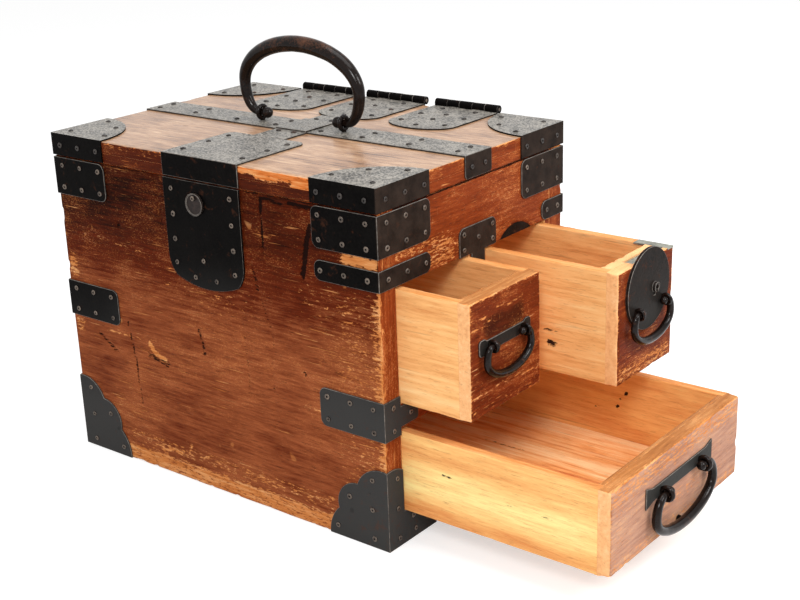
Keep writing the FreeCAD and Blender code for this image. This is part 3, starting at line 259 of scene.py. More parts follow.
class Grain:
    """The figure of a board: rings, fibres and pores that run along one axis."""

    def __init__(self, finish, along):
        place = finish.shifted(finish.spot, finish.mark("plank"))
        self.long = finish.stretched(place, ALONG[along])
        self.short = finish.stretched(place, SHORT[along])
        wander = finish.noise(self.long, 1.1, 2.0, 0.5)
        self.rings = (wander * 90).sine() * 0.5 + 0.5
        self.broad = finish.noise(self.long, 5.0, 3.0, 0.6)
        self.fibre = finish.noise(self.long, 26.0, 5.0, 0.72)
        self.pores = finish.noise(finish.stretched(self.long, (1.0, 1.6, 1.6)), 70.0, 3.0, 0.6)
        self.dashes = self.pores.between(0.60, 0.70)
        self.cloud = finish.noise(place, 11.0, 3.0, 0.55)
        self.flecks = finish.noise(self.short, 40.0, 4.0, 0.72)
        self.blots = finish.noise(self.short, 7.0, 5.0, 0.68)


def raw_wood(name, along, dark, mid, light, figure=1.0, dirt=0.25, tone_shift=None):
    """Bare board, oiled by age, with dirt in its pores and along its edges."""
    f = Finish(name)
    g = Grain(f, along)
    tone = (g.rings - 0.5) * 0.10 + (g.broad - 0.5) * 0.9 + (g.fibre - 0.5) * 1.1 + (g.cloud - 0.5) * 0.5
    tone = 0.5 + tone * figure
    if tone_shift:
        tone = tone + tone_shift(f)
    colour = f.steps(tone.held(), ((0.06, dark), (0.50, mid), (0.94, light)))
    colour = f.mix(g.dashes * 0.30 * figure, colour, SOIL)
    grime = (f.mark("wear") * 0.35 + g.cloud * 0.9 + g.fibre * 0.3).between(0.80, 1.35)
    colour = f.mix(grime * dirt, colour, SOIL)
    streak = f.noise(f.stretched(g.long, (0.5, 1.0, 1.0)), 16.0, 3.0, 0.6).between(0.64, 0.74)
    colour = f.mix(streak * 0.35 * figure, colour, SOIL)
    colour = f.mix(f.mark("pale") * 0.6, colour, light)
    colour = f.mix(f.mark("stain") * 0.7, colour, SOIL)
    knot = (g.flecks + f.mark("scar_and_seam_shadow") * 0.6).between(0.70, 0.86)
    colour = f.mix(knot, colour, KNOT)
    relief = g.fibre * 0.7 - g.dashes * 0.5 + g.rings * 0.1
    return f.set(
        Base_Color=colour,
        Roughness=(g.fibre * 0.25 + 0.46).held(),
        Specular_IOR_Level=0.15,
        Normal=f.relief(relief, 0.0003),
    )


def lacquered_wood(
    name, along, coat, bare, shade=None, worn=0.0, flecked=1.0, gloss=0.36, top_coat=0.0, shine=0.03,
    figure=1.0, lines=0.0,
):
    """Stained and lacquered board whose finish is scratched, and rubbed off at the edges."""
    f = Finish(name)
    g = Grain(f, along)
    tone = (g.broad - 0.5) * 0.25 + (g.blots - 0.5) * 0.35 + (g.fibre - 0.5) * 0.7 + (g.cloud - 0.5) * 0.35
    tone = tone * figure + 0.44
    if shade:
        tone = tone + shade(f)
    colour = f.steps(tone.held(), ((0.08, coat[0]), (0.44, coat[1]), (0.80, coat[2])))
    colour = f.mix(g.dashes * 0.45, colour, coat[0])
    soot = f.noise(g.short, 22.0, 3.0, 0.65).between(0.62, 0.76)
    colour = f.mix(soot * 0.3, colour, coat[0])
    if lines:
        line = f.noise(f.stretched(g.long, (0.5, 1.0, 1.0)), 22.0, 4.0, 0.7).between(0.60, 0.68)
        colour = f.mix(line * lines, colour, coat[0])
    stain = (f.mark("stain") + (g.blots - 0.5) * 1.2).between(0.40, 0.85) * f.mark("stain")
    colour = f.mix(stain.held(), colour, coat[0])

    # Fine light scratches along the grain, and a few that cross it.
    long_marks = f.noise(f.stretched(g.long, (0.6, 1.0, 1.0)), 48.0, 2.0, 0.5).between(0.64, 0.70)
    sparse = f.noise(f.spot, 24.0, 2.0, 0.5).between(0.46, 0.62)
    cross_marks = f.noise(f.slanted((0.9, 0.6, 0.4), (60.0, 700.0, 60.0)), 1.0, 1.0, 0.5).between(0.74, 0.80)
    scratch = (long_marks * sparse + cross_marks * 0.5).held()

    bare_tone = 0.5 + (g.fibre - 0.5) * 1.4 + (g.broad - 0.5) * 0.6
    bare_colour = f.steps(bare_tone.held(), ((0.2, bare[0]), (0.5, bare[1]), (0.85, bare[2])))
    dust = (f.noise(g.short, 110.0, 3.0, 0.7) + g.cloud * 0.5 + g.blots * 0.3).between(0.99, 1.08)
    colour = f.mix((scratch * 0.65 + dust * 0.5 * flecked).held(), colour, bare_colour)
    bared = (g.flecks + f.mark("wear") * 0.30 + g.cloud * 0.12 + worn).between(0.76, 0.84)
    colour = f.mix(bared * 0.9, colour, bare_colour)
    pale = (g.flecks + f.mark("pale") * 0.38).between(0.66, 0.76)
    colour = f.mix(pale * 0.85, colour, bare_colour)
    # Scars, and the painted shadow lines along the lid's seam, go near black.
    scar_and_seam_shadow = (g.flecks + f.mark("scar_and_seam_shadow") * 0.42).between(0.70, 0.80)
    colour = f.mix(scar_and_seam_shadow * 0.93, colour, SCAR_AND_SEAM_SHADOW)

    height = g.fibre * 0.45 - g.dashes * 0.5 - scratch * 0.6 - bared * 0.5 - scar_and_seam_shadow * 1.2 + g.broad * 0.4
    rough = gloss + g.fibre * 0.16 + bared * 0.22 + pale * 0.2 + scar_and_seam_shadow * 0.3
    f.set(
        Base_Color=colour,
        Roughness=rough.held(),
        Specular_IOR_Level=shine,
        Normal=f.relief(height, 0.0004),
    )
    if top_coat:
        f.set(Coat_Weight=(1 - bared * 0.7) * top_coat, Coat_Roughness=0.2)
    return f.material


def black_iron(
    name, dark, light, painted_low_reflection=None, rough=0.40, rust=0.35, shine=0.05, grain=0.22, speckle=2.0
):
    """Lacquered sheet iron: mottled, rusty in places and finely scratched.

    Where asked it is greyer low down, and rubbed brown high up on the drawer end."""
    f = Finish(name)
    mottle = f.noise(f.spot, 60.0, 5.0, 0.65)
    grit = f.noise(f.spot, 520.0, 3.0, 0.7)
    broad = f.noise(f.spot, 14.0, 2.0, 0.5)
    colour = f.mix((0.5 + (mottle - 0.5) * 1.6 + (grit - 0.5) * speckle).held(), dark, light)
    # Painted reflection: greyer low down, and less so to the left, standing in for the white floor's glow and
    # the light from the right.
    if painted_low_reflection:
        x, _, z = f.parts(f.spot)
        height = (z + x.between(0.0, -0.2) * 0.08 + (broad - 0.5) * 0.05).between(0.11, 0.25)
        colour = f.mix(height, painted_low_reflection, colour)
        on_end = x.between(0.1998, 0.2010) * x.between(0.230, 0.220) * z.between(0.18, 0.23)
        colour = f.mix((on_end * (mottle - 0.15) * 1.3).held(), colour, RUBBED_END_IRON)
    rusty = (f.noise(f.spot, 110.0, 4.0, 0.7, 0.6) + broad * 0.35).between(0.76, 0.90)
    colour = f.mix(rusty * rust, colour, RUST)
    rubbed = (f.mark("wear") + (mottle - 0.5) * 2.0 + (grit - 0.5) * 1.2).between(0.62, 1.15)
    colour = f.mix(rubbed * 0.6, colour, RUBBED_IRON)
    nicks = f.noise(f.slanted((0.3, 0.8, 0.5), (90.0, 1100.0, 90.0)), 1.0, 1.0, 0.5).between(0.73, 0.80)
    colour = f.mix(nicks * 0.25, colour, light)
    relief = mottle * 0.8 + grit * grain + broad * 1.4 - nicks * 0.3
    return f.set(
        Base_Color=colour,
        Roughness=(rough + (mottle - 0.5) * 0.3 + rusty * 0.2).held(),
        Specular_IOR_Level=shine,
        Normal=f.relief(relief, 0.00042),
    )


def bright_metal(name, dark, light, rough=0.34, metal=0.85, shine=0.5):
    """Iron rubbed bright: dark pits and brown stain between polished places."""
    f = Finish(name)
    mottle = f.noise(f.spot, 260.0, 5.0, 0.7)
    broad = f.noise(f.spot, 45.0, 3.0, 0.6)
    colour = f.mix((0.5 + (mottle - 0.5) * 2.0 + (broad - 0.5) * 1.5).held(), dark, light)
    return f.set(
        Base_Color=colour,
        Metallic=(metal - mottle * 0.3).held(),
        Roughness=(rough + mottle * 0.25).held(),
        Specular_IOR_Level=shine,
        Normal=f.relief(mottle * 0.6 + broad, 0.0003),
    )


def front_shade(f):
    """The front is darkest along its top, above all to the left, and lightest towards the ground."""
    x, _, z = f.parts(f.spot)
    swell = (f.noise(f.spot, 7.0, 2.0, 0.5) - 0.5) * 0.35
    top = (z + swell * 0.2).between(0.15, 0.29)
    return 0.20 - top * 0.44 + top * x * 0.55 + swell * 0.6


def plank_bands(f):
    """The near side of the wide drawer is yellow in its middle and brown low down, the far side orange."""
    _, y, z = f.parts(f.spot)
    near = y.between(0.0, -0.05)
    return (z.between(0.088, 0.072) * 0.34 - z.between(0.056, 0.036) * 0.55 + 0.04) * near - 0.10


def floor_bands(f):
    """The planks of a drawer's floor differ, with long streaks of their own."""
    return (f.noise(f.stretched(f.spot, (0.6, 40.0, 1.0)), 1.0, 2.0, 0.6) - 0.5) * 1.8 + 0.14


FRONT_COAT = (tint(28, 7, 2), tint(90, 31, 10), tint(158, 86, 50))
END_COAT = (tint(62, 20, 7), tint(128, 54, 22), tint(182, 98, 50))
DRAWER_COAT = (tint(42, 13, 5), tint(108, 42, 18), tint(182, 94, 46))
STAINED_COAT = (tint(106, 66, 52), tint(176, 130, 108), tint(216, 172, 140))
EDGE_COAT = (tint(112, 60, 30), tint(172, 112, 64), tint(212, 160, 106))
WORN_BARE = (tint(178, 98, 44), tint(216, 138, 76), tint(242, 188, 130))
CHIPPED_BARE = (tint(150, 62, 20), tint(218, 120, 54), tint(250, 186, 122))

front_lacquer = lacquered_wood(
    "front_lacquer", "x", FRONT_COAT, WORN_BARE, shade=front_shade, flecked=0.55, shine=0.02
)
end_lacquer = lacquered_wood("end_lacquer", "y", END_COAT, WORN_BARE, worn=0.02)
post_lacquer = lacquered_wood("post_lacquer", "z", END_COAT, WORN_BARE, worn=0.06)
back_lacquer = lacquered_wood("back_lacquer", "x", FRONT_COAT, WORN_BARE)
# The lid top's coat is paler and greyer than the wood elsewhere: its own colour, with painted sheen of the
# white surroundings.
lid_lacquer_and_sheen = lacquered_wood(
    "lid_lacquer_and_sheen", "x",
    (tint(64, 36, 22), tint(160, 120, 88), tint(212, 176, 142)),
    (tint(168, 112, 72), tint(196, 150, 108), tint(222, 186, 150)),
    worn=-0.05, flecked=0.5, gloss=0.32, top_coat=0.4, shine=0.35, figure=1.5, lines=0.85,
)
lid_edge_lacquer = lacquered_wood(
    "lid_edge_lacquer", "x", (tint(30, 9, 4), tint(74, 26, 10), tint(116, 52, 24)), CHIPPED_BARE, flecked=0.5
)
drawer_lacquer = lacquered_wood("drawer_lacquer", "y", DRAWER_COAT, WORN_BARE, worn=0.01)
wide_drawer_lacquer = lacquered_wood("wide_drawer_lacquer", "y", STAINED_COAT, WORN_BARE, worn=0.02)
drawer_edge_lacquer = lacquered_wood("drawer_edge_lacquer", "y", EDGE_COAT, WORN_BARE, worn=0.03)
raw_rim = raw_wood("raw_rim", "x", tint(166, 92, 42), tint(214, 142, 80), tint(242, 186, 126))
raw_long = raw_wood(
    "raw_long", "x", tint(206, 128, 66), tint(242, 180, 114), tint(252, 210, 150), figure=0.9, dirt=0.12
)
raw_wide = raw_wood(
    "raw_wide", "x", tint(214, 128, 66), tint(244, 184, 112), tint(255, 226, 150), figure=0.8, dirt=0.10,
    tone_shift=plank_bands,
)
raw_cross = raw_wood(
    "raw_cross", "y", tint(206, 134, 84), tint(240, 178, 120), tint(252, 208, 156), figure=0.8
)
raw_floor = raw_wood(
    "raw_floor", "x", tint(196, 106, 56), tint(240, 166, 100), tint(252, 210, 156), figure=1.4, dirt=0.10,
    tone_shift=floor_bands,
)

# The upright and end irons are near black, with a painted reflection of the floor low down.
upright_iron = black_iron(
    "upright_iron", tint(4, 3, 3), tint(15, 13, 12), painted_low_reflection=tint(58, 57, 56), shine=0.02
)
end_iron = black_iron(
    "end_iron", tint(11, 8, 7), tint(38, 30, 26), painted_low_reflection=tint(52, 51, 49), shine=0.03, rust=0.5
)
# Painted sheen: the lid's irons are the same black iron, made light grey on their upward faces for the glare
# of the white surroundings.
lid_iron = black_iron(
    "lid_iron", tint(40, 38, 35), tint(150, 144, 135),
    rough=0.34, rust=0.10, shine=0.35, grain=1.2, speckle=5.0,
)
forged_iron = black_iron("forged_iron", tint(7, 5, 4), tint(30, 20, 16), rough=0.10, rust=0.5, shine=0.16)
# The filed edges are lighter: worn bare iron, and a painted highlight along the plates' rims.
worn_edge_and_highlight = bright_metal("worn_edge_and_highlight", tint(52, 49, 46), tint(128, 120, 112), metal=0.3, shine=0.3)
# Nail crowns are rubbed bright, and lighter still as a painted highlight, round a dark hollow.
nail_crown_and_highlight = bright_metal("nail_crown_and_highlight", tint(28, 23, 20), tint(122, 108, 96), metal=0.5, shine=0.3)
nail_centre = black_iron("nail_centre", tint(6, 5, 5), tint(24, 20, 18), rough=0.4)
lid_nail_iron = black_iron("lid_nail_iron", tint(22, 19, 18), tint(62, 54, 48), rough=0.35, shine=0.3)
lock_steel = bright_metal("lock_steel", tint(92, 92, 84), tint(164, 164, 150), metal=0.6)
cover_steel = bright_metal("cover_steel", tint(12, 9, 8), tint(48, 37, 33), rough=0.2, metal=0.1, shine=0.12)


# Pieces of wood

SIDES = {"-x": (0, -1), "+x": (0, 1), "-y": (1, -1), "+y": (1, 1), "-z": (2, -1), "+z": (2, 1)}
EDGE_ROWS = np.array([0, 0.45, 1.1, 2.2, 4.0]) * MM
LEAST_RADIUS = 0.12 * MM
SAME_SPOT = 1e-6


def show(made):
    """Put a new object into the scene."""
    bpy.context.scene.collection.objects.link(made)
    return made


def face_outwards(mesh):
    """Turn the faces of a closed mesh to its outside."""
    work = bmesh.new()
    work.from_mesh(mesh)
    bmesh.ops.recalc_face_normals(work, faces=work.faces)
    work.to_mesh(mesh)
    work.free()


def smooth_mesh(name, points, faces, finishes, slots):
    """A smoothly shaded mesh, with the number of the finish of each face."""
    mesh = bpy.data.meshes.new(name)
    mesh.from_pydata(points, [], faces)
    for finish in finishes:
        mesh.materials.append(finish)
    mesh.polygons.foreach_set("material_index", np.array(slots, np.int32))
    mesh.polygons.foreach_set("use_smooth", np.ones(len(mesh.polygons), bool))
    return mesh


def ring_faces(start, rings, count):
    """Four-sided faces between rings of points that follow each other."""
    faces = []
    for first in range(start, start + (rings - 1) * count, count):
        for turn in range(count):
            spots = np.array((first + turn, first + (turn + 1) % count))
            faces.append((*spots.tolist(), *(spots[::-1] + count).tolist()))
    return faces


def store(mesh, name, values):
    """Keep a value for each point of a mesh, for the finishes to read."""
    layer = mesh.attributes.new(name, "FLOAT", "POINT")
    layer.data.foreach_set("value", values.astype(np.float32))


def loose_parts(node):
    """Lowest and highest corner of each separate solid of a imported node."""
    work = bmesh.new()
    work.from_mesh(frame["nodes"][node].data)
    bmesh.ops.remove_doubles(work, verts=work.verts, dist=SAME_SPOT)
    left = set(work.verts)
    boxes = []
    while left:
        heap = [left.pop()]
        spots = []
        while heap:
            vert = heap.pop()
            spots.append(vert.co[:])
            beside = {edge.other_vert(vert) for edge in vert.link_edges} & left
            left -= beside
            heap += beside
        spots = np.array(spots)
        boxes.append((spots.min(0), spots.max(0)))
    work.free()
    return sorted(boxes, key=lambda box: tuple(box[0]))


def blocks(*corners):
    """The lowest and highest corners of blocks, given in millimetres."""
    return [(np.array(low) * MM, np.array(high) * MM) for low, high in corners]


def rows(low, high, step):
    """Grid rows along one side of a board: close together by its ends, then evenly spread."""
    length = high - low
    edge = EDGE_ROWS[EDGE_ROWS < length * 0.4]
    count = max(2, round((length - 2 * edge[-1]) / step) + 1)
    inner = np.linspace(edge[-1], length - edge[-1], count)
    return low + np.unique(np.concatenate([edge, inner, length - edge]).round(7))


def block_grid(low, high, step):
    """Points and four-sided faces over the surface of a block, with the side of each face."""
    lines = [rows(low[axis], high[axis], step) for axis in range(3)]
    grid = np.stack(np.meshgrid(*lines, indexing="ij"), -1)
    outer = np.zeros(grid.shape[:3], bool)
    for axis in range(3):
        np.moveaxis(outer, axis, 0)[[0, -1]] = True
    index = np.full(outer.shape, -1)
    index[outer] = np.arange(outer.sum())
    faces, sides = [], []
    for axis, (end, sign) in itertools.product(range(3), ((0, -1), (-1, 1))):
        side = np.take(index, end, axis=axis)
        quads = np.stack([side[:-1, :-1], side[1:, :-1], side[1:, 1:], side[:-1, 1:]], -1).reshape(-1, 4)
        faces.append(quads[:, ::-1] if (sign < 0) != (axis == 1) else quads)
        sides += [(axis, sign)] * len(quads)
    return grid[outer], np.concatenate(faces), sides


def line_nearness(points, axes, line, width):
    """1 on a drawn line and 0 at its width away, in millimetres and seen along the third axis."""
    flat = points[:, axes] / MM
    best = np.full(len(points), 1e9)
    spots = np.array(line, float).reshape(-1, 2)
    if len(spots) == 1:
        best = np.linalg.norm(flat - spots[0], axis=1)
    for start, stop in zip(spots[:-1], spots[1:]):
        run = stop - start
        share = np.clip(((flat - start) @ run) / (run @ run), 0, 1)
        best = np.minimum(best, np.linalg.norm(flat - start - share[:, None] * run, axis=1))
    return np.clip(1 - best / width, 0, 1)


def patch_nearness(points, axes, patch):
    """1 inside a patch given by its lowest and highest corner in millimetres, fading over its border."""
    low_a, low_b, high_a, high_b, soft = patch
    a, b = (points[:, axes] / MM).T
    inside = ramp_between(a, low_a - soft, low_a + soft) * ramp_between(-a, -high_a - soft, -high_a + soft)
    inside *= ramp_between(b, low_b - soft, low_b + soft)
    return inside * ramp_between(-b, -high_b - soft, -high_b + soft)


def off_side(points, side, low, high):
    """How far points lie from one side of a block."""
    axis, sign = side
    return np.abs(points[:, axis] - (high if sign > 0 else low)[axis])


class Marks:
    """Scars, painted seam shadow lines, pale places and stains on one side of a board, or of one block of it,
    in millimetres.

    A row of scars or pales is a line: its width, its strength and its points. A row of patches, which are
    pale too, stains or hollows is a patch: its lowest and highest corner, its border, and its strength or
    depth."""

    def __init__(self, side, scars_and_seam_shadows=(), pales=(), patches=(), hollows=(), stains=(), block=None):
        self.side = SIDES[side]
        self.axes = [axis for axis in range(3) if axis != self.side[0]]
        self.lines = ((0, scars_and_seam_shadows), (1, pales))
        self.areas = ((1, patches), (2, stains))
        self.hollows = hollows
        self.block = block

    def values(self, points, low, high):
        """How far each point is scarred, paled and stained."""
        found = np.zeros((3, len(points)))
        for kind, lines in self.lines:
            for width, strength, *line in lines:
                nearness = line_nearness(points, self.axes, line, width)
                found[kind] = np.maximum(found[kind], nearness * strength)
        for kind, patches in self.areas:
            for *patch, strength in patches:
                nearness = patch_nearness(points, self.axes, patch)
                found[kind] = np.maximum(found[kind], nearness * strength)
        return found * np.clip(1 - off_side(points, self.side, low, high) / (4 * MM), 0, 1)

    def extra_radius(self, points):
        """How much rounder the edge is by the hollows."""
        extra = np.zeros(len(points))
        for *patch, depth in self.hollows:
            extra += patch_nearness(points, self.axes, patch) * (depth * MM)
        return extra


def board(
    node, inner, coats, step=4.0, edge=(0.5, 0.6, 1.2), rub=1.0, marks=(), cutters=(), quiet=(), layers=None,
):
    """Replace a packed wooden node by boards with rounded, chipped edges and an uneven face.

    Coats give the finish of each side by name. Rub is how far the edges have lost their finish. Quiet sides
    meet another board and don't wear. Layers are the corners of the blocks that a board is built up from,
    each with its own quiet sides."""
    points_all, faces_all, slots_all = [], [], []
    stored = {name: [] for name in ("wear", "scar_and_seam_shadow", "pale", "stain", "plank")}
    finishes = [inner] + list(dict.fromkeys(coats.values()))
    shown = {SIDES[side]: finishes.index(coat) for side, coat in coats.items()}
    count = 0
    for number, (low, high, *still) in enumerate(layers or loose_parts(node)):
        seed = sum(map(ord, node)) + number * 17
        points, faces, sides = block_grid(low, high, step * MM)
        base, swell, chip = (value * MM for value in edge)
        radius = base + swell * waver(points, 28 * MM, seed)
        radius += chip * ramp_between(waver(points, 7 * MM, seed + 1), 0.66, 0.86)
        here = [mark for mark in marks if mark.block in (None, number)]
        for mark in here:
            radius += mark.extra_radius(points) * (0.4 + 0.9 * waver(points, 11 * MM, seed + 5))
        calm = np.ones(len(points))
        for side in (*quiet, *still):
            calm *= ramp_between(off_side(points, SIDES[side], low, high), 0.5 * MM, 6 * MM)
        radius = np.minimum(LEAST_RADIUS + (radius - LEAST_RADIUS) * calm, (high - low).min() * 0.42)
        gaps = np.minimum(points - low, high - points)
        to_edge = np.sort(gaps, axis=1)[:, 1]
        inside = np.clip(points, low + radius[:, None], high - radius[:, None])
        away = points - inside
        moved = inside + away / np.linalg.norm(away, axis=1)[:, None] * radius[:, None]

        wear = np.exp(-to_edge / (2.2 * MM)) * (0.45 + 0.95 * waver(points, 22 * MM, seed + 2)) * calm * rub
        marked = np.zeros((3, len(points)))
        for mark in here:
            marked = np.maximum(marked, mark.values(points, low, high))
        scar_and_seam_shadow, pale, stain = marked
        sink = 0.12 * waver(points, 40 * MM, seed + 3) + 0.8 * np.minimum(scar_and_seam_shadow, 1)
        sink += 0.35 * pale * waver(points, 6 * MM, seed + 4)
        towards = (low + high) / 2 - moved
        step_in = np.zeros_like(moved)
        pick = np.arange(len(points)), np.argmin(gaps, axis=1)
        step_in[pick] = np.sign(towards[pick]) * sink * MM
        moved = moved + step_in * ramp_between(to_edge, 0, 2 * MM)[:, None]

        points_all.append(moved)
        faces_all.append(faces + count)
        slots_all += [shown.get(side, 0) for side in sides]
        plank = np.full(len(points), (seed * 0.137) % 1.0)
        for name, values in zip(stored, (wear, scar_and_seam_shadow, pale, stain, plank)):
            stored[name].append(values)
        count += len(points)

    points, faces = np.concatenate(points_all).tolist(), np.concatenate(faces_all).tolist()
    mesh = smooth_mesh(node + "_wood", points, faces, finishes, slots_all)
    for name, values in stored.items():
        store(mesh, name, np.concatenate(values))
    piece = add_piece(node + "_worn", mesh, node)
    for cutter in cutters:
        cut_out(piece, cutter)
    return piece


def add_piece(name, mesh, *nodes):
    """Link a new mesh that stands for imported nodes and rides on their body."""
    piece = bpy.data.objects.new(name, mesh)
    show(piece)
    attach(piece, frame["nodes"][nodes[0]]["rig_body"])
    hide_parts(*nodes)
    return piece


def cut_out(piece, cutter):
    """Cut a closed shape away from a piece, and drop the shape."""
    cutting = piece.modifiers.new("cut", "BOOLEAN")
    cutting.object = cutter
    cutting.solver = "EXACT"
    settled = piece.evaluated_get(bpy.context.evaluated_depsgraph_get())
    made = bpy.data.meshes.new_from_object(settled)
    piece.modifiers.remove(cutting)
    piece.data = made
    bpy.data.objects.remove(cutter)


def prism(name, outline, axis, low, high):
    """A closed shape along an axis, from its outline in the other two."""
    count = len(outline)
    points = np.zeros((2, count, 3))
    points[:, :, [other for other in range(3) if other != axis]] = outline
    points[0, :, axis], points[1, :, axis] = low, high
    faces = [tuple(range(count)), tuple(range(count, 2 * count)), *ring_faces(0, 2, count)]
    mesh = bpy.data.meshes.new(name)
    mesh.from_pydata(points.reshape(-1, 3).tolist(), [], faces)
    face_outwards(mesh)
    return show(bpy.data.objects.new(name, mesh))


def box_prism(name, low, high):
    """A closed block, its corners given in millimetres."""
    low, high = np.array(low) * MM, np.array(high) * MM
    outline = ((low[0], low[1]), (high[0], low[1]), (high[0], high[1]), (low[0], high[1]))
    return prism(name, outline, 2, low[2], high[2])


KEYHOLE_RADIUS = 2.6 * MM
KEYHOLE_SLOT = 2.6 * MM
KEYHOLE_LENGTH = 8.0 * MM


def keyhole(name, across, up, axis, low, high):
    """The cutter for a round hole with a slot below it."""
    half = KEYHOLE_SLOT / 2
    first = math.asin(half / KEYHOLE_RADIUS)
    outline = []
    for turn in np.linspace(-math.pi / 2 + first, 3 * math.pi / 2 - first, 22):
        outline.append((across + KEYHOLE_RADIUS * math.cos(turn), up + KEYHOLE_RADIUS * math.sin(turn)))
    outline += [(across - half, up - KEYHOLE_LENGTH), (across + half, up - KEYHOLE_LENGTH)]
    return prism(name, outline, axis, low, high)


# Case

FRONT_MARKS = Marks(
    "-y",
    scars_and_seam_shadows=(
        (3.6, 1.9, 127, 286, 122, 270, 119, 254, 116, 240), (2, 1.6, 74, 303, 96, 301),
        (2.6, 1.7, 104, 303, 130, 302), (2.6, 1.7, 72, 302, 71, 290),
        (2, 1.1, 71, 283, 71, 262, 72, 252), (2, 0.9, -119, 150, -112, 110, -110, 66),
        # The line along z 306.4 is a painted shadow in the seam under the lid.
        (1.5, 0.9, -198, 306.4, 198, 306.4), (2.6, 1, -165, 130, -150, 121, -138, 115),
        (6, 0.75, -92, 121, -66, 117), (3, 0.9, -20, 163, -15, 148, -14, 137),
        (4, 0.6, 57, 236, 62, 214), (3, 0.5, 66, 206, 74, 182, 78, 160),
        (2.6, 0.4, 72, 155, 73, 100, 76, 60), (3, 0.5, 40, 180, 42, 120), (3.4, 1.4, -118, 249),
        (4, 1, 112, 148), (3, 0.5, -60, 300, -56, 262),
    ),
    pales=(
        (3.6, 1.6, -90, 134, -82, 124, -70, 121), (4, 1, -85, 22, -70, 26, -58, 24),
        (3, 0.8, -43, 38, -48, 28), (4, 0.7, 110, 118, 128, 116), (2.2, 0.45, -80, 218, -40, 217),
        (2.2, 0.5, -60, 201, -5, 202), (2.4, 0.6, 0, 198, 28, 204), (2, 0.7, -150, 135, -80, 137),
        (2.2, 0.7, 5, 310, 40, 305), (3.5, 1, 199, 20, 199, 250), (2, 0.45, -150, 232, -90, 226),
    ),
    patches=(
        (-198, 184, -184, 208, 5, 0.62), (-198, 124, -185, 142, 5, 0.55), (160, 258, 199, 270, 4, 0.95),
        (-130, 22, 140, 35, 3, 0.36), (-140, -5, 150, 18, 5, 0.75), (150, 40, 199, 232, 18, 0.28),
        (190, 60, 200, 236, 5, 0.55), (110, 205, 190, 235, 16, 0.22), (-40, 180, 60, 210, 22, 0.22),
    ),
    stains=(
        (47, 168, 62, 216, 9, 0.4), (62, 60, 78, 204, 9, 0.34), (16, 96, 34, 184, 10, 0.28),
        (-70, 108, -40, 124, 9, 0.4), (-196, 236, -40, 262, 14, 0.3), (-160, 60, -132, 130, 12, 0.24),
        (-120, 23, 130, 34, 3, 0.34),
    ),
)

POST_MARKS = Marks(
    "+x",
    pales=((3, 0.5, -138, 60, -138, 236),),
)

front_keyhole = keyhole("front_keyhole", -7.0 * MM, 288.0 * MM, 1, -0.15, -0.11)
left_coats = dict.fromkeys(("-x", "+z", "-z"), end_lacquer)
side_coats = {"+x": post_lacquer, **left_coats}
board(
    "front_board", raw_long, {"-y": front_lacquer, **side_coats}, step=2.4, edge=(0.7, 1.0, 2.0),
    rub=0.5, marks=(FRONT_MARKS, POST_MARKS), cutters=(front_keyhole,), quiet=("+y",),
)
board(
    "back_board", raw_long, {"+y": back_lacquer, **side_coats}, step=4.5, edge=(0.7, 1.0, 2.0),
    quiet=("-y",),
)
board("left_end_board", raw_cross, left_coats, step=4.5)

# The strike plate's hollow is the top of a circle, cut off at the rail's underside.
STRIKE_MIDDLE = (61, 211.8)
STRIKE_RADIUS = 37.8
RAIL_UNDERSIDE = 238.5
arch = []
for turn in np.linspace(math.radians(46), math.radians(134), 24):
    across = STRIKE_MIDDLE[0] + STRIKE_RADIUS * math.cos(turn)
    arch.append((across * MM, (STRIKE_MIDDLE[1] + STRIKE_RADIUS * math.sin(turn)) * MM))
arch = [(arch[0][0], RAIL_UNDERSIDE * MM), *arch, (arch[-1][0], RAIL_UNDERSIDE * MM)]
strike_hollow = prism("strike_hollow", arch, 0, 198.5 * MM, 201 * MM)
bolt_hollow = box_prism("bolt_hollow", (187.85, 66.2, RAIL_UNDERSIDE), (193.45, 78.8, 245.5))
rail_marks = Marks(
    "+x",
    patches=(
        (-75, 238, -30, 268, 8, 0.48), (-119, 260, -66, 270, 3, 0.5), (-40, 238, -25, 262, 6, 0.35),
    ),
    # A painted shadow line in the seam under the lid, along z 306.4.
    scars_and_seam_shadows=((1.6, 1.3, -119, 306.4, 119, 306.4),),
)
rail_coats = dict.fromkeys(("+x", "-z", "+z"), end_lacquer)
board(
    "top_rail", raw_cross, rail_coats, step=2.8, rub=0.5,
    marks=(rail_marks,), cutters=(strike_hollow, bolt_hollow),
)
for node in ("middle_rail", "bottom_rail"):
    board(node, raw_cross, rail_coats, step=3.0)
board("partition_board", raw_long, {"+x": post_lacquer}, step=5.0)
for node in ("bottom_board", "shelf_board", "tray_floor"):
    board(node, raw_long, {}, step=8.0)
guide_blocks = blocks(
    ((-182, -119, 14), (182, -97, 31.5)),
    ((-182, 97, 14), (182, 119, 31.5)),
    ((-182, 111, 31.5), (200, 119, 110.5)),
    ((-182, 111, 134), (200, 119, 239.5)),
)
board("drawer_guides", raw_long, {"+x": end_lacquer}, step=8.0, edge=(0.3, 0.2, 0.3), layers=guide_blocks)

# Lid

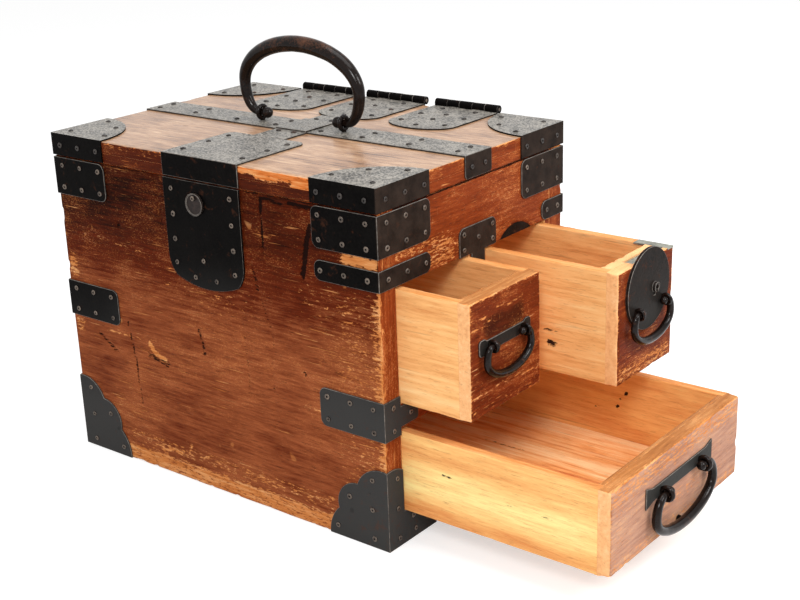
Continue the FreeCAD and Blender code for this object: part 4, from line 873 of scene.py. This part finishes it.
LID_FRONT_MARKS = Marks(
    "-y",
    pales=((3, 0.45, -117, 324, -75, 322, -52, 325),),
    patches=(
        (46, 322, 72, 330, 1.6, 1), (66, 319, 94, 330, 2.4, 1), (88, 321, 114, 330, 1.8, 1),
        (108, 316, 133, 330, 2.4, 1), (-130, 325, -50, 330, 1.5, 0.35),
    ),
    hollows=((44, 318, 134, 332, 3, 2.6), (-125, 322, -60, 332, 4, 1),),
)
LID_TOP_MARKS = Marks(
    "+z",
    scars_and_seam_shadows=(
        (0.9, 0.5, -200, -78, -60, -77), (0.9, 0.45, -128, -50, -40, -49), (0.8, 0.4, 46, -80, 132, -79),
        (0.9, 0.5, 48, 38, 130, 37), (0.8, 0.4, -120, 60, -50, 61),
    ),
)
rim_coats = {"-y": lid_edge_lacquer, "+y": back_lacquer, "+x": end_lacquer, "-x": end_lacquer}
lid_coats = {"+z": lid_lacquer_and_sheen, **rim_coats}
board(
    "lid_panel", raw_long, lid_coats, step=2.6, edge=(0.8, 0.8, 1.4),
    marks=(LID_FRONT_MARKS, LID_TOP_MARKS), quiet=("-z",),
)
board("lid_front_rim", raw_long, rim_coats, step=3.0, edge=(0.4, 0.5, 1.2), rub=0.1, quiet=("+z",))
rim_blocks = blocks(
    ((-200, 119.7, 307.4), (200, 139.7, 317)),
    ((180, -106, 307.4), (200, 119.7, 317)),
    ((-200, -106, 307.4), (-180, 119.7, 317)),
)
board(
    "lid_rims", raw_cross, rim_coats, step=4.0, edge=(0.4, 0.5, 0.8), rub=0.1,
    quiet=("+z",), layers=rim_blocks,
)

# Drawers

SMALL_MARKS = Marks(
    "+x",
    pales=(
        (2.4, 0.8, -116, 222, -96, 220, -90, 216), (2, 0.8, -116, 214, -100, 212),
        (2, 0.7, -80, 225, -60, 222, -40, 224), (1.8, 0.8, -117, 154, -60, 155, -18, 150),
        (2, 0.6, -117, 140, -20, 139),
    ),
    scars_and_seam_shadows=((3, 0.5, -70, 214, -62, 210), (4, 0.4, -95, 150, -85, 146),),
    stains=((-100, 196, -36, 224, 10, 0.8), (-117, 150, -98, 205, 7, 0.5),),
)
LOCK_MARKS = Marks(
    "+x",
    patches=((12, 134, 110, 150, 7, 0.55),),
    pales=((2.2, 0.5, 20, 160, 60, 158),),
)
WIDE_MARKS = Marks(
    "+x",
    patches=((-118, 30, 110, 44, 7, 0.5), (-118, 90, 110, 110, 7, 0.52), (-40, 52, 30, 66, 9, 0.42),),
    stains=((-118, 40, -70, 92, 12, 0.34), (50, 44, 112, 90, 14, 0.34),),
    pales=((2.2, 0.6, -110, 84, -70, 82), (2.2, 0.6, 40, 50, 90, 52),),
)

SIDE_WOOD = 9 * MM
OUTER_FRONT = 12 * MM
SMALL_SIDE_MARKS = Marks(
    "-y",
    scars_and_seam_shadows=((1, 0.5, 60, 212, 120, 211), (1, 0.4, 140, 150, 200, 152),),
)
LOCK_SIDE_MARKS = Marks(
    "-y",
    scars_and_seam_shadows=((4, 1.1, 267, 162, 273, 161), (1.2, 0.6, 255, 175, 290, 172),),
    block=0,
)
WIDE_NEAR_MARKS = Marks(
    "-y",
    scars_and_seam_shadows=(
        (2, 0.7, 243, 77, 251, 77), (1.2, 0.6, 307, 68.6, 316, 69.2), (1, 0.6, 342, 68.3, 351, 68),
    ),
    block=0,
)
WIDE_FAR_MARKS = Marks(
    "-y",
    scars_and_seam_shadows=(
        (3, 1.6, 297, 87), (2.4, 1.5, 292, 79), (2, 1.5, 288, 72), (1.2, 1, 263, 66, 270, 67),
        (1.4, 1, 334.5, 96, 334.7, 90),
    ),
    block=1,
)
FLOOR_MARKS = Marks(
    "+z",
    scars_and_seam_shadows=(
        (1.6, 0.6, 180, -20, 385, -24), (1.2, 0.55, 180, 28, 385, 24), (1.3, 0.5, 180, -58, 385, -60),
        (1, 0.4, 200, 62, 385, 60),
    ),
    pales=(
        (2.4, 1, 150, 60, 385, 56), (2.2, 0.9, 160, 33, 385, 27), (2.6, 0.7, 190, -10, 385, -14),
        (2, 0.6, 220, -42, 385, -44),
    ),
)


def drawer(
    name, front_marks, side_marks, edge, front_coats, side_finish, cutters=(), side_cutters=(),
):
    """The five boards of one drawer. Its front is an outer board with a lining between the sides."""
    low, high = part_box(name + "_front")
    joint = high[0] - OUTER_FRONT
    inner_low, inner_high = low[1] + SIDE_WOOD, high[1] - SIDE_WOOD
    layers = (
        (np.array((joint, low[1], low[2])), np.array(high), "-x"),
        (np.array((low[0], inner_low, low[2])), np.array((joint, inner_high, high[2])), "+x", "-y", "+y"),
    )
    board(
        name + "_front", raw_cross, front_coats, step=2.2, edge=edge,
        marks=(front_marks,), cutters=cutters, layers=layers,
    )
    board(
        name + "_sides", side_finish, {"+z": raw_rim}, 3.0, (0.5, 0.5, 0.8), marks=side_marks,
        cutters=side_cutters, quiet=("+x",),
    )
    board(name + "_back", raw_cross, {}, step=4.0, edge=(0.4, 0.4, 0.6))
    board(name + "_bottom", raw_floor, {}, step=3.0, edge=(0.2, 0.1, 0.1), marks=(FLOOR_MARKS,))


def lock_arm_hollow(name):
    """The shallow place for the flat arm of the drawer's lock."""
    return box_prism(name, (301.9, 99, 235.8), (340, 112, 240))


lock_pocket = box_prism("lock_pocket", (321.9, 44.5, 203.3), (331.4, 100.5, 240))
key_way = keyhole("key_way", 71.0 * MM, 210.3 * MM, 0, 0.330, 0.345)
drawer(
    "small_drawer", SMALL_MARKS, (SMALL_SIDE_MARKS,), (0.8, 0.9, 2.0),
    {"+x": drawer_lacquer, "+z": drawer_edge_lacquer}, raw_long,
)
drawer(
    "lock_drawer", LOCK_MARKS, (LOCK_SIDE_MARKS,), (0.8, 1.0, 2.2),
    {"+x": drawer_lacquer}, raw_long,
    cutters=(lock_pocket, key_way, lock_arm_hollow("front_arm_hollow")),
    side_cutters=(lock_arm_hollow("side_arm_hollow"),),
)
drawer(
    "wide_drawer", WIDE_MARKS, (WIDE_NEAR_MARKS, WIDE_FAR_MARKS), (1.6, 2.2, 2.6),
    {"+x": wide_drawer_lacquer, "+z": drawer_edge_lacquer}, raw_wide,
)


# Iron


def bevel(piece, name, width, angle):
    """Round the edges that turn by more than an angle. Width in millimetres, angle in degrees."""
    made = piece.modifiers.new(name, "BEVEL")
    made.width = width * MM
    made.segments = 2
    made.limit_method = "ANGLE"
    made.angle_limit = math.radians(angle)
    return made


def dressed(node, finish, painted_sheen_finish=None, width=0.45):
    """Replace packed sheet iron by the same plates with filed edges; their upward faces can take a lighter
    copy of the finish with painted sheen.
    """
    work = bmesh.new()
    work.from_mesh(frame["nodes"][node].data)
    bmesh.ops.remove_doubles(work, verts=work.verts, dist=SAME_SPOT)
    bmesh.ops.dissolve_limit(work, angle_limit=math.radians(1.5), verts=work.verts, edges=work.edges)
    for face in work.faces:
        face.smooth = True
        # Faces that look up take the third finish, the painted sheen where one is given.
        face.material_index = 2 if face.normal.z > 0.98 else 0
    mesh = bpy.data.meshes.new(node + "_iron")
    work.to_mesh(mesh)
    work.free()
    for each in (finish, worn_edge_and_highlight, painted_sheen_finish or finish):
        mesh.materials.append(each)
    piece = add_piece(node + "_filed", mesh, node)
    # The bevel's new faces take the lighter edge finish, which is partly a painted highlight.
    bevel(piece, "filed", width, 38).material = 1
    evened = piece.modifiers.new("evened", "WEIGHTED_NORMAL")
    evened.mode = "FACE_AREA"
    evened.weight = 100


for node in (
    "upper_corner_irons", "narrow_corner_irons", "middle_corner_irons", "bottom_corner_irons",
    "lock_tongue_plate", "case_hinge_leaves",
):
    dressed(node, upright_iron)
for node in (
    "partition_iron", "small_drawer_pull_plate", "lock_drawer_round_plate", "wide_drawer_pull_plate",
):
    dressed(node, end_iron)
# The lid's irons are black on their sides, with painted sheen on their upward faces.
for node in ("lid_corner_irons", "cross_strap", "centre_strap", "lid_lock_plate", "lid_hinge_leaves"):
    dressed(node, upright_iron, lid_iron)
dressed("keyhole_cover", cover_steel, width=0.35)

CHEST_MIDDLE = (0.0, 0.0, 0.16)
HEAD_HEIGHT = 1.2 * MM
HEAD_TURNS = 18

# How far out and how high a nail's head runs, as shares of its radius and its height.
HEAD_PROFILE = (
    (0.02, 0.50), (0.20, 0.52), (0.36, 0.74), (0.50, 0.98),
    (0.66, 1.0), (0.84, 0.76), (0.96, 0.36), (1.0, -0.15),
)
# The bands that take the ring finish; on the case nails its light colour is partly a painted highlight.
RING_BANDS = range(2, 6)


def nail_heads(node, ring_finish, centre_finish):
    """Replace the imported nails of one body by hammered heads, each a ring round a hollow."""
    chance = np.random.default_rng(11)
    points, faces, slots = [], [], []
    for low, high in loose_parts(node):
        size = high - low
        axis = int(np.argmax(size))
        middle = (low + high) / 2
        out = np.zeros(3)
        out[axis] = 1.0 if middle[axis] > CHEST_MIDDLE[axis] else -1.0
        radius = np.delete(size, axis).max() / 2 * chance.uniform(0.90, 1.06)
        height = HEAD_HEIGHT * chance.uniform(0.8, 1.0)
        foot = middle + out * (size[axis] / 2 - HEAD_HEIGHT)
        across = np.roll(out, 1)
        up = np.cross(out, across)
        lean = chance.uniform(-0.09, 0.09, 2)
        start = len(points)
        for share, rise in HEAD_PROFILE:
            for turn in np.linspace(0, 2 * math.pi, HEAD_TURNS, endpoint=False):
                dent = 1 + chance.uniform(-0.035, 0.035)
                a, b = math.cos(turn) * radius * share * dent, math.sin(turn) * radius * share * dent
                points.append(foot + across * a + up * b + out * (height * rise + lean[0] * a + lean[1] * b))
        faces.append(tuple(start + turn for turn in range(HEAD_TURNS)))
        slots.append(1)
        faces += ring_faces(start, len(HEAD_PROFILE), HEAD_TURNS)
        for ring in range(len(HEAD_PROFILE) - 1):
            slots += [0 if ring in RING_BANDS else 1] * HEAD_TURNS
    points = np.array(points).tolist()
    mesh = smooth_mesh(node + "_heads", points, faces, (ring_finish, centre_finish), slots)
    face_outwards(mesh)
    add_piece(node + "_hammered", mesh, node)


nail_heads("case_nails", nail_crown_and_highlight, nail_centre)
nail_heads("lid_nails", lid_nail_iron, nail_centre)


class Forging:
    """Sizes of one forged handle in millimetres, measured from the axis through its two eyes."""

    def __init__(self, node, middle, across, away, spacing, wire, radii, half_width, shoulder, reach):
        self.node = node
        self.middle = np.array(middle, float)
        self.across = np.array(across, float)
        self.away = np.array(away, float)
        self.pin, self.leg, self.grip, self.ball = radii
        self.half_width = half_width
        self.shoulder = shoulder
        self.reach = reach
        self.neck = math.sqrt(self.ball**2 - self.pin**2)
        self.foot = spacing / 2 + wire + 1.0 + self.pin / 4
        self.tip = spacing / 2 - wire - 0.5 - self.neck

    def half(self):
        """Across, away, the heading and the radius of the bar from the ball's end to mid-grip."""
        rings = []
        for reach in np.linspace(-0.995, self.neck / self.ball, 12):
            radius = self.ball * math.sqrt(1 - reach**2)
            rings.append((self.tip + reach * self.ball, 0.0, (1.0, 0.0), radius))
        for across in np.linspace(self.tip + self.neck, self.foot, 6)[1:-1]:
            rings.append((across, 0.0, (1.0, 0.0), self.pin))
        bulge = self.half_width - self.foot
        for turn in np.radians(np.arange(0, 90, 5)):
            heading = (bulge * math.cos(turn), self.shoulder * math.sin(turn))
            radius = self.pin + (self.leg - self.pin) * math.sin(turn)
            across, away = self.foot + bulge * math.sin(turn), self.shoulder * (1 - math.cos(turn))
            rings.append((across, away, heading, radius))
        rise = self.reach - self.shoulder
        for turn in np.radians(np.arange(0, 91, 3)):
            heading = (-self.half_width * math.sin(turn), rise * math.cos(turn))
            radius = self.leg + (self.grip - self.leg) * math.sin(turn)
            across, away = self.half_width * math.cos(turn), self.shoulder + rise * math.sin(turn)
            rings.append((across, away, heading, radius))
        return rings


BAR_TURNS = 28


def forge(*sizes):
    """Replace a packed handle by one smooth hammered bar."""
    bar = Forging(*sizes)
    half = bar.half()
    rings = [(*ring, 1) for ring in half] + [(*ring, -1) for ring in half[-2::-1]]
    thick = np.cross(bar.across, bar.away)
    turns = np.linspace(0, 2 * math.pi, BAR_TURNS, endpoint=False)
    points = []
    for a, b, heading, radius, side in rings:
        along = np.array(heading) / np.linalg.norm(heading)
        centre = bar.middle + bar.across * a * side + bar.away * b
        outward = bar.across * (along[1] * side) - bar.away * along[0]
        for turn in turns:
            points.append(centre + (outward * math.cos(turn) + thick * math.sin(turn)) * radius)
    points = np.array(points) * MM
    centres = points.reshape(len(rings), BAR_TURNS, 3).mean(1).repeat(BAR_TURNS, 0)
    hammer = waver(points, 5 * MM, 41) * 0.5 + waver(points, 11 * MM, 43) * 0.5
    points = centres + (points - centres) * (0.965 + 0.05 * hammer)[:, None]
    last = (len(rings) - 1) * BAR_TURNS
    faces = [tuple(range(BAR_TURNS - 1, -1, -1)), *ring_faces(0, len(rings), BAR_TURNS)]
    faces.append(tuple(range(last, last + BAR_TURNS)))
    mesh = smooth_mesh(bar.node + "_bar", points.tolist(), faces, (forged_iron,), np.zeros(len(faces)))
    face_outwards(mesh)
    reached = (centres / MM - bar.middle) @ bar.away / bar.reach
    outer = ((points - centres) / MM) @ bar.away / bar.grip
    store(mesh, "wear", ramp_between(reached + outer * 0.12, 0.75, 1.1) * 0.9)
    add_piece(bar.node + "_forged", mesh, bar.node)


TO_BACK, UP, DOWN = (0, 1, 0), (0, 0, 1), (0, 0, -1)
HANDLE_RADII = (3.6, 5.6, 7.8, 5.6)
SMALL_RADII = (2.6, 3.3, 3.8, 3.5)
WIDE_RADII = (3.2, 4.0, 4.8, 4.3)
forge("lid_handle", (-4, 2, 337.58), (1, 0, 0), UP, 104, 2.2, HANDLE_RADII, 72.4, 28.4, 69.9)
for name, middle in (("small_drawer", (280.18, -69, 195.3)), ("lock_drawer", (343.68, 61, 195.3))):
    forge(name + "_bail", middle, TO_BACK, DOWN, 48, 1.6, SMALL_RADII, 32.6, 12, 29)
forge("wide_drawer_bail", (413.28, -4, 75.8), TO_BACK, DOWN, 68, 2.1, WIDE_RADII, 50.7, 17, 40)

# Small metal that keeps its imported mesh, with its edges eased.
KEPT = (
    (
        forged_iron, "handle_eyes", "small_drawer_eyes", "lock_drawer_eyes", "wide_drawer_eyes",
        "wide_drawer_stop_nail",
    ),
    (nail_crown_and_highlight, "hinge_pins"),
    (lock_steel, "lid_staple", "lid_lock_case", "lid_lock_bolt", "lock_drawer_lock_case", "lock_drawer_bolt"),
    (end_iron, "strike_plate"),
)
for finish, *nodes in KEPT:
    for node in nodes:
        piece = frame["nodes"][node]
        for place in piece.material_slots:
            place.material = finish
        bevel(piece, "eased", 0.25, 50)


# Floor, light and camera


def stage_white(name):
    """White to the eye and to reflections, with the object's shadow on it."""
    f = Finish(name)
    plain = f.node("ShaderNodeBsdfDiffuse", {}, {"Color": (0.72, 0.72, 0.72, 1)})
    paper = f.node("ShaderNodeBsdfDiffuse", {}, {"Color": (0.62, 0.62, 0.62, 1)})
    glow = f.node("ShaderNodeEmission", {}, {"Color": (1, 1, 1, 1), "Strength": 0.55})
    bright = f.node("ShaderNodeAddShader", {}, {0: paper, 1: glow})
    out = f.node("ShaderNodeMixShader", {}, {0: f.watched(), 1: plain, 2: bright})
    f.feed(f.tree.nodes["Material Output"].inputs["Surface"], out)
    return f.material


# The floor lies just under the chest, so that the two don't share a plane.
FLOOR_REACH = 14.0
FLOOR_LEVEL = -0.0004
floor_mesh = bpy.data.meshes.new("floor")
corners = [(x * FLOOR_REACH, y * FLOOR_REACH, FLOOR_LEVEL) for x, y in ((-1, -1), (1, -1), (1, 1), (-1, 1))]
floor_mesh.from_pydata(corners, [], [(0, 1, 2, 3)])
floor_mesh.materials.append(stage_white("floor_white"))
floor = show(bpy.data.objects.new("floor", floor_mesh))

# White behind the chest and in reflections, and a lower plain light on surfaces.
SKY_LIGHT = 0.66
world = bpy.data.worlds.new("studio")
world.use_nodes = True
bpy.context.scene.world = world
sky = Nodes(world.node_tree)
background = sky.tree.nodes["Background"]
background.inputs["Color"].default_value = (1, 1, 1, 1)
terms = {"Value": sky.watched(), "To Min": SKY_LIGHT, "To Max": 1.0}
sky.feed(background.inputs["Strength"], sky.node("ShaderNodeMapRange", {}, terms))


def soft_lamp(name, place, target, size, power):
    """A square lamp that looks at its target."""
    data = bpy.data.lights.new(name, "AREA")
    data.shape = "SQUARE"
    data.size = size
    data.energy = power
    lamp = bpy.data.objects.new(name, data)
    lamp.location = place
    lamp.rotation_euler = (Vector(target) - Vector(place)).to_track_quat("-Z", "Y").to_euler()
    show(lamp)


soft_lamp("key_lamp", (1.1, -1.5, 1.5), (0.05, 0, 0.15), 0.5, 20.0)
soft_lamp("top_lamp", (0.25, 0.0, 1.9), (0.2, 0, 0.1), 1.2, 16.0)
soft_lamp("fill_lamp", (1.45, 0.2, 1.2), (0.3, 0, 0.05), 0.6, 14.0)


CAMERA_TURN, CAMERA_HEIGHT, CAMERA_LEAN = 38.69, 19.72, -2.07
CAMERA_PLACE = (0.88711, -0.97110, 0.62057)
FOCAL_PIXELS = 1397.36
PHOTO_WIDTH = 800
SENSOR_WIDTH = 36.0


def place_camera():
    """The photograph's own viewing angle: its turn, its height, its slight lean and its lens."""
    turn, height, lean = map(math.radians, (CAMERA_TURN, CAMERA_HEIGHT, CAMERA_LEAN))
    back = Vector((math.sin(turn) * math.cos(height), -math.cos(turn) * math.cos(height), math.sin(height)))
    right = Vector((math.cos(turn), math.sin(turn), 0))
    up = back.cross(right)
    leaning_right = right * math.cos(lean) + up * math.sin(lean)
    leaning_up = up * math.cos(lean) - right * math.sin(lean)
    data = bpy.data.cameras.new("camera")
    data.sensor_width = SENSOR_WIDTH
    data.lens = FOCAL_PIXELS * SENSOR_WIDTH / PHOTO_WIDTH
    data.clip_end = 60.0
    camera = show(bpy.data.objects.new("camera", data))
    turned = Matrix((leaning_right, leaning_up, back)).transposed()
    camera.matrix_world = Matrix.Translation(CAMERA_PLACE) @ turned.to_4x4()
    bpy.context.scene.camera = camera


place_camera()
bpy.context.scene.view_settings.view_transform = "Standard"
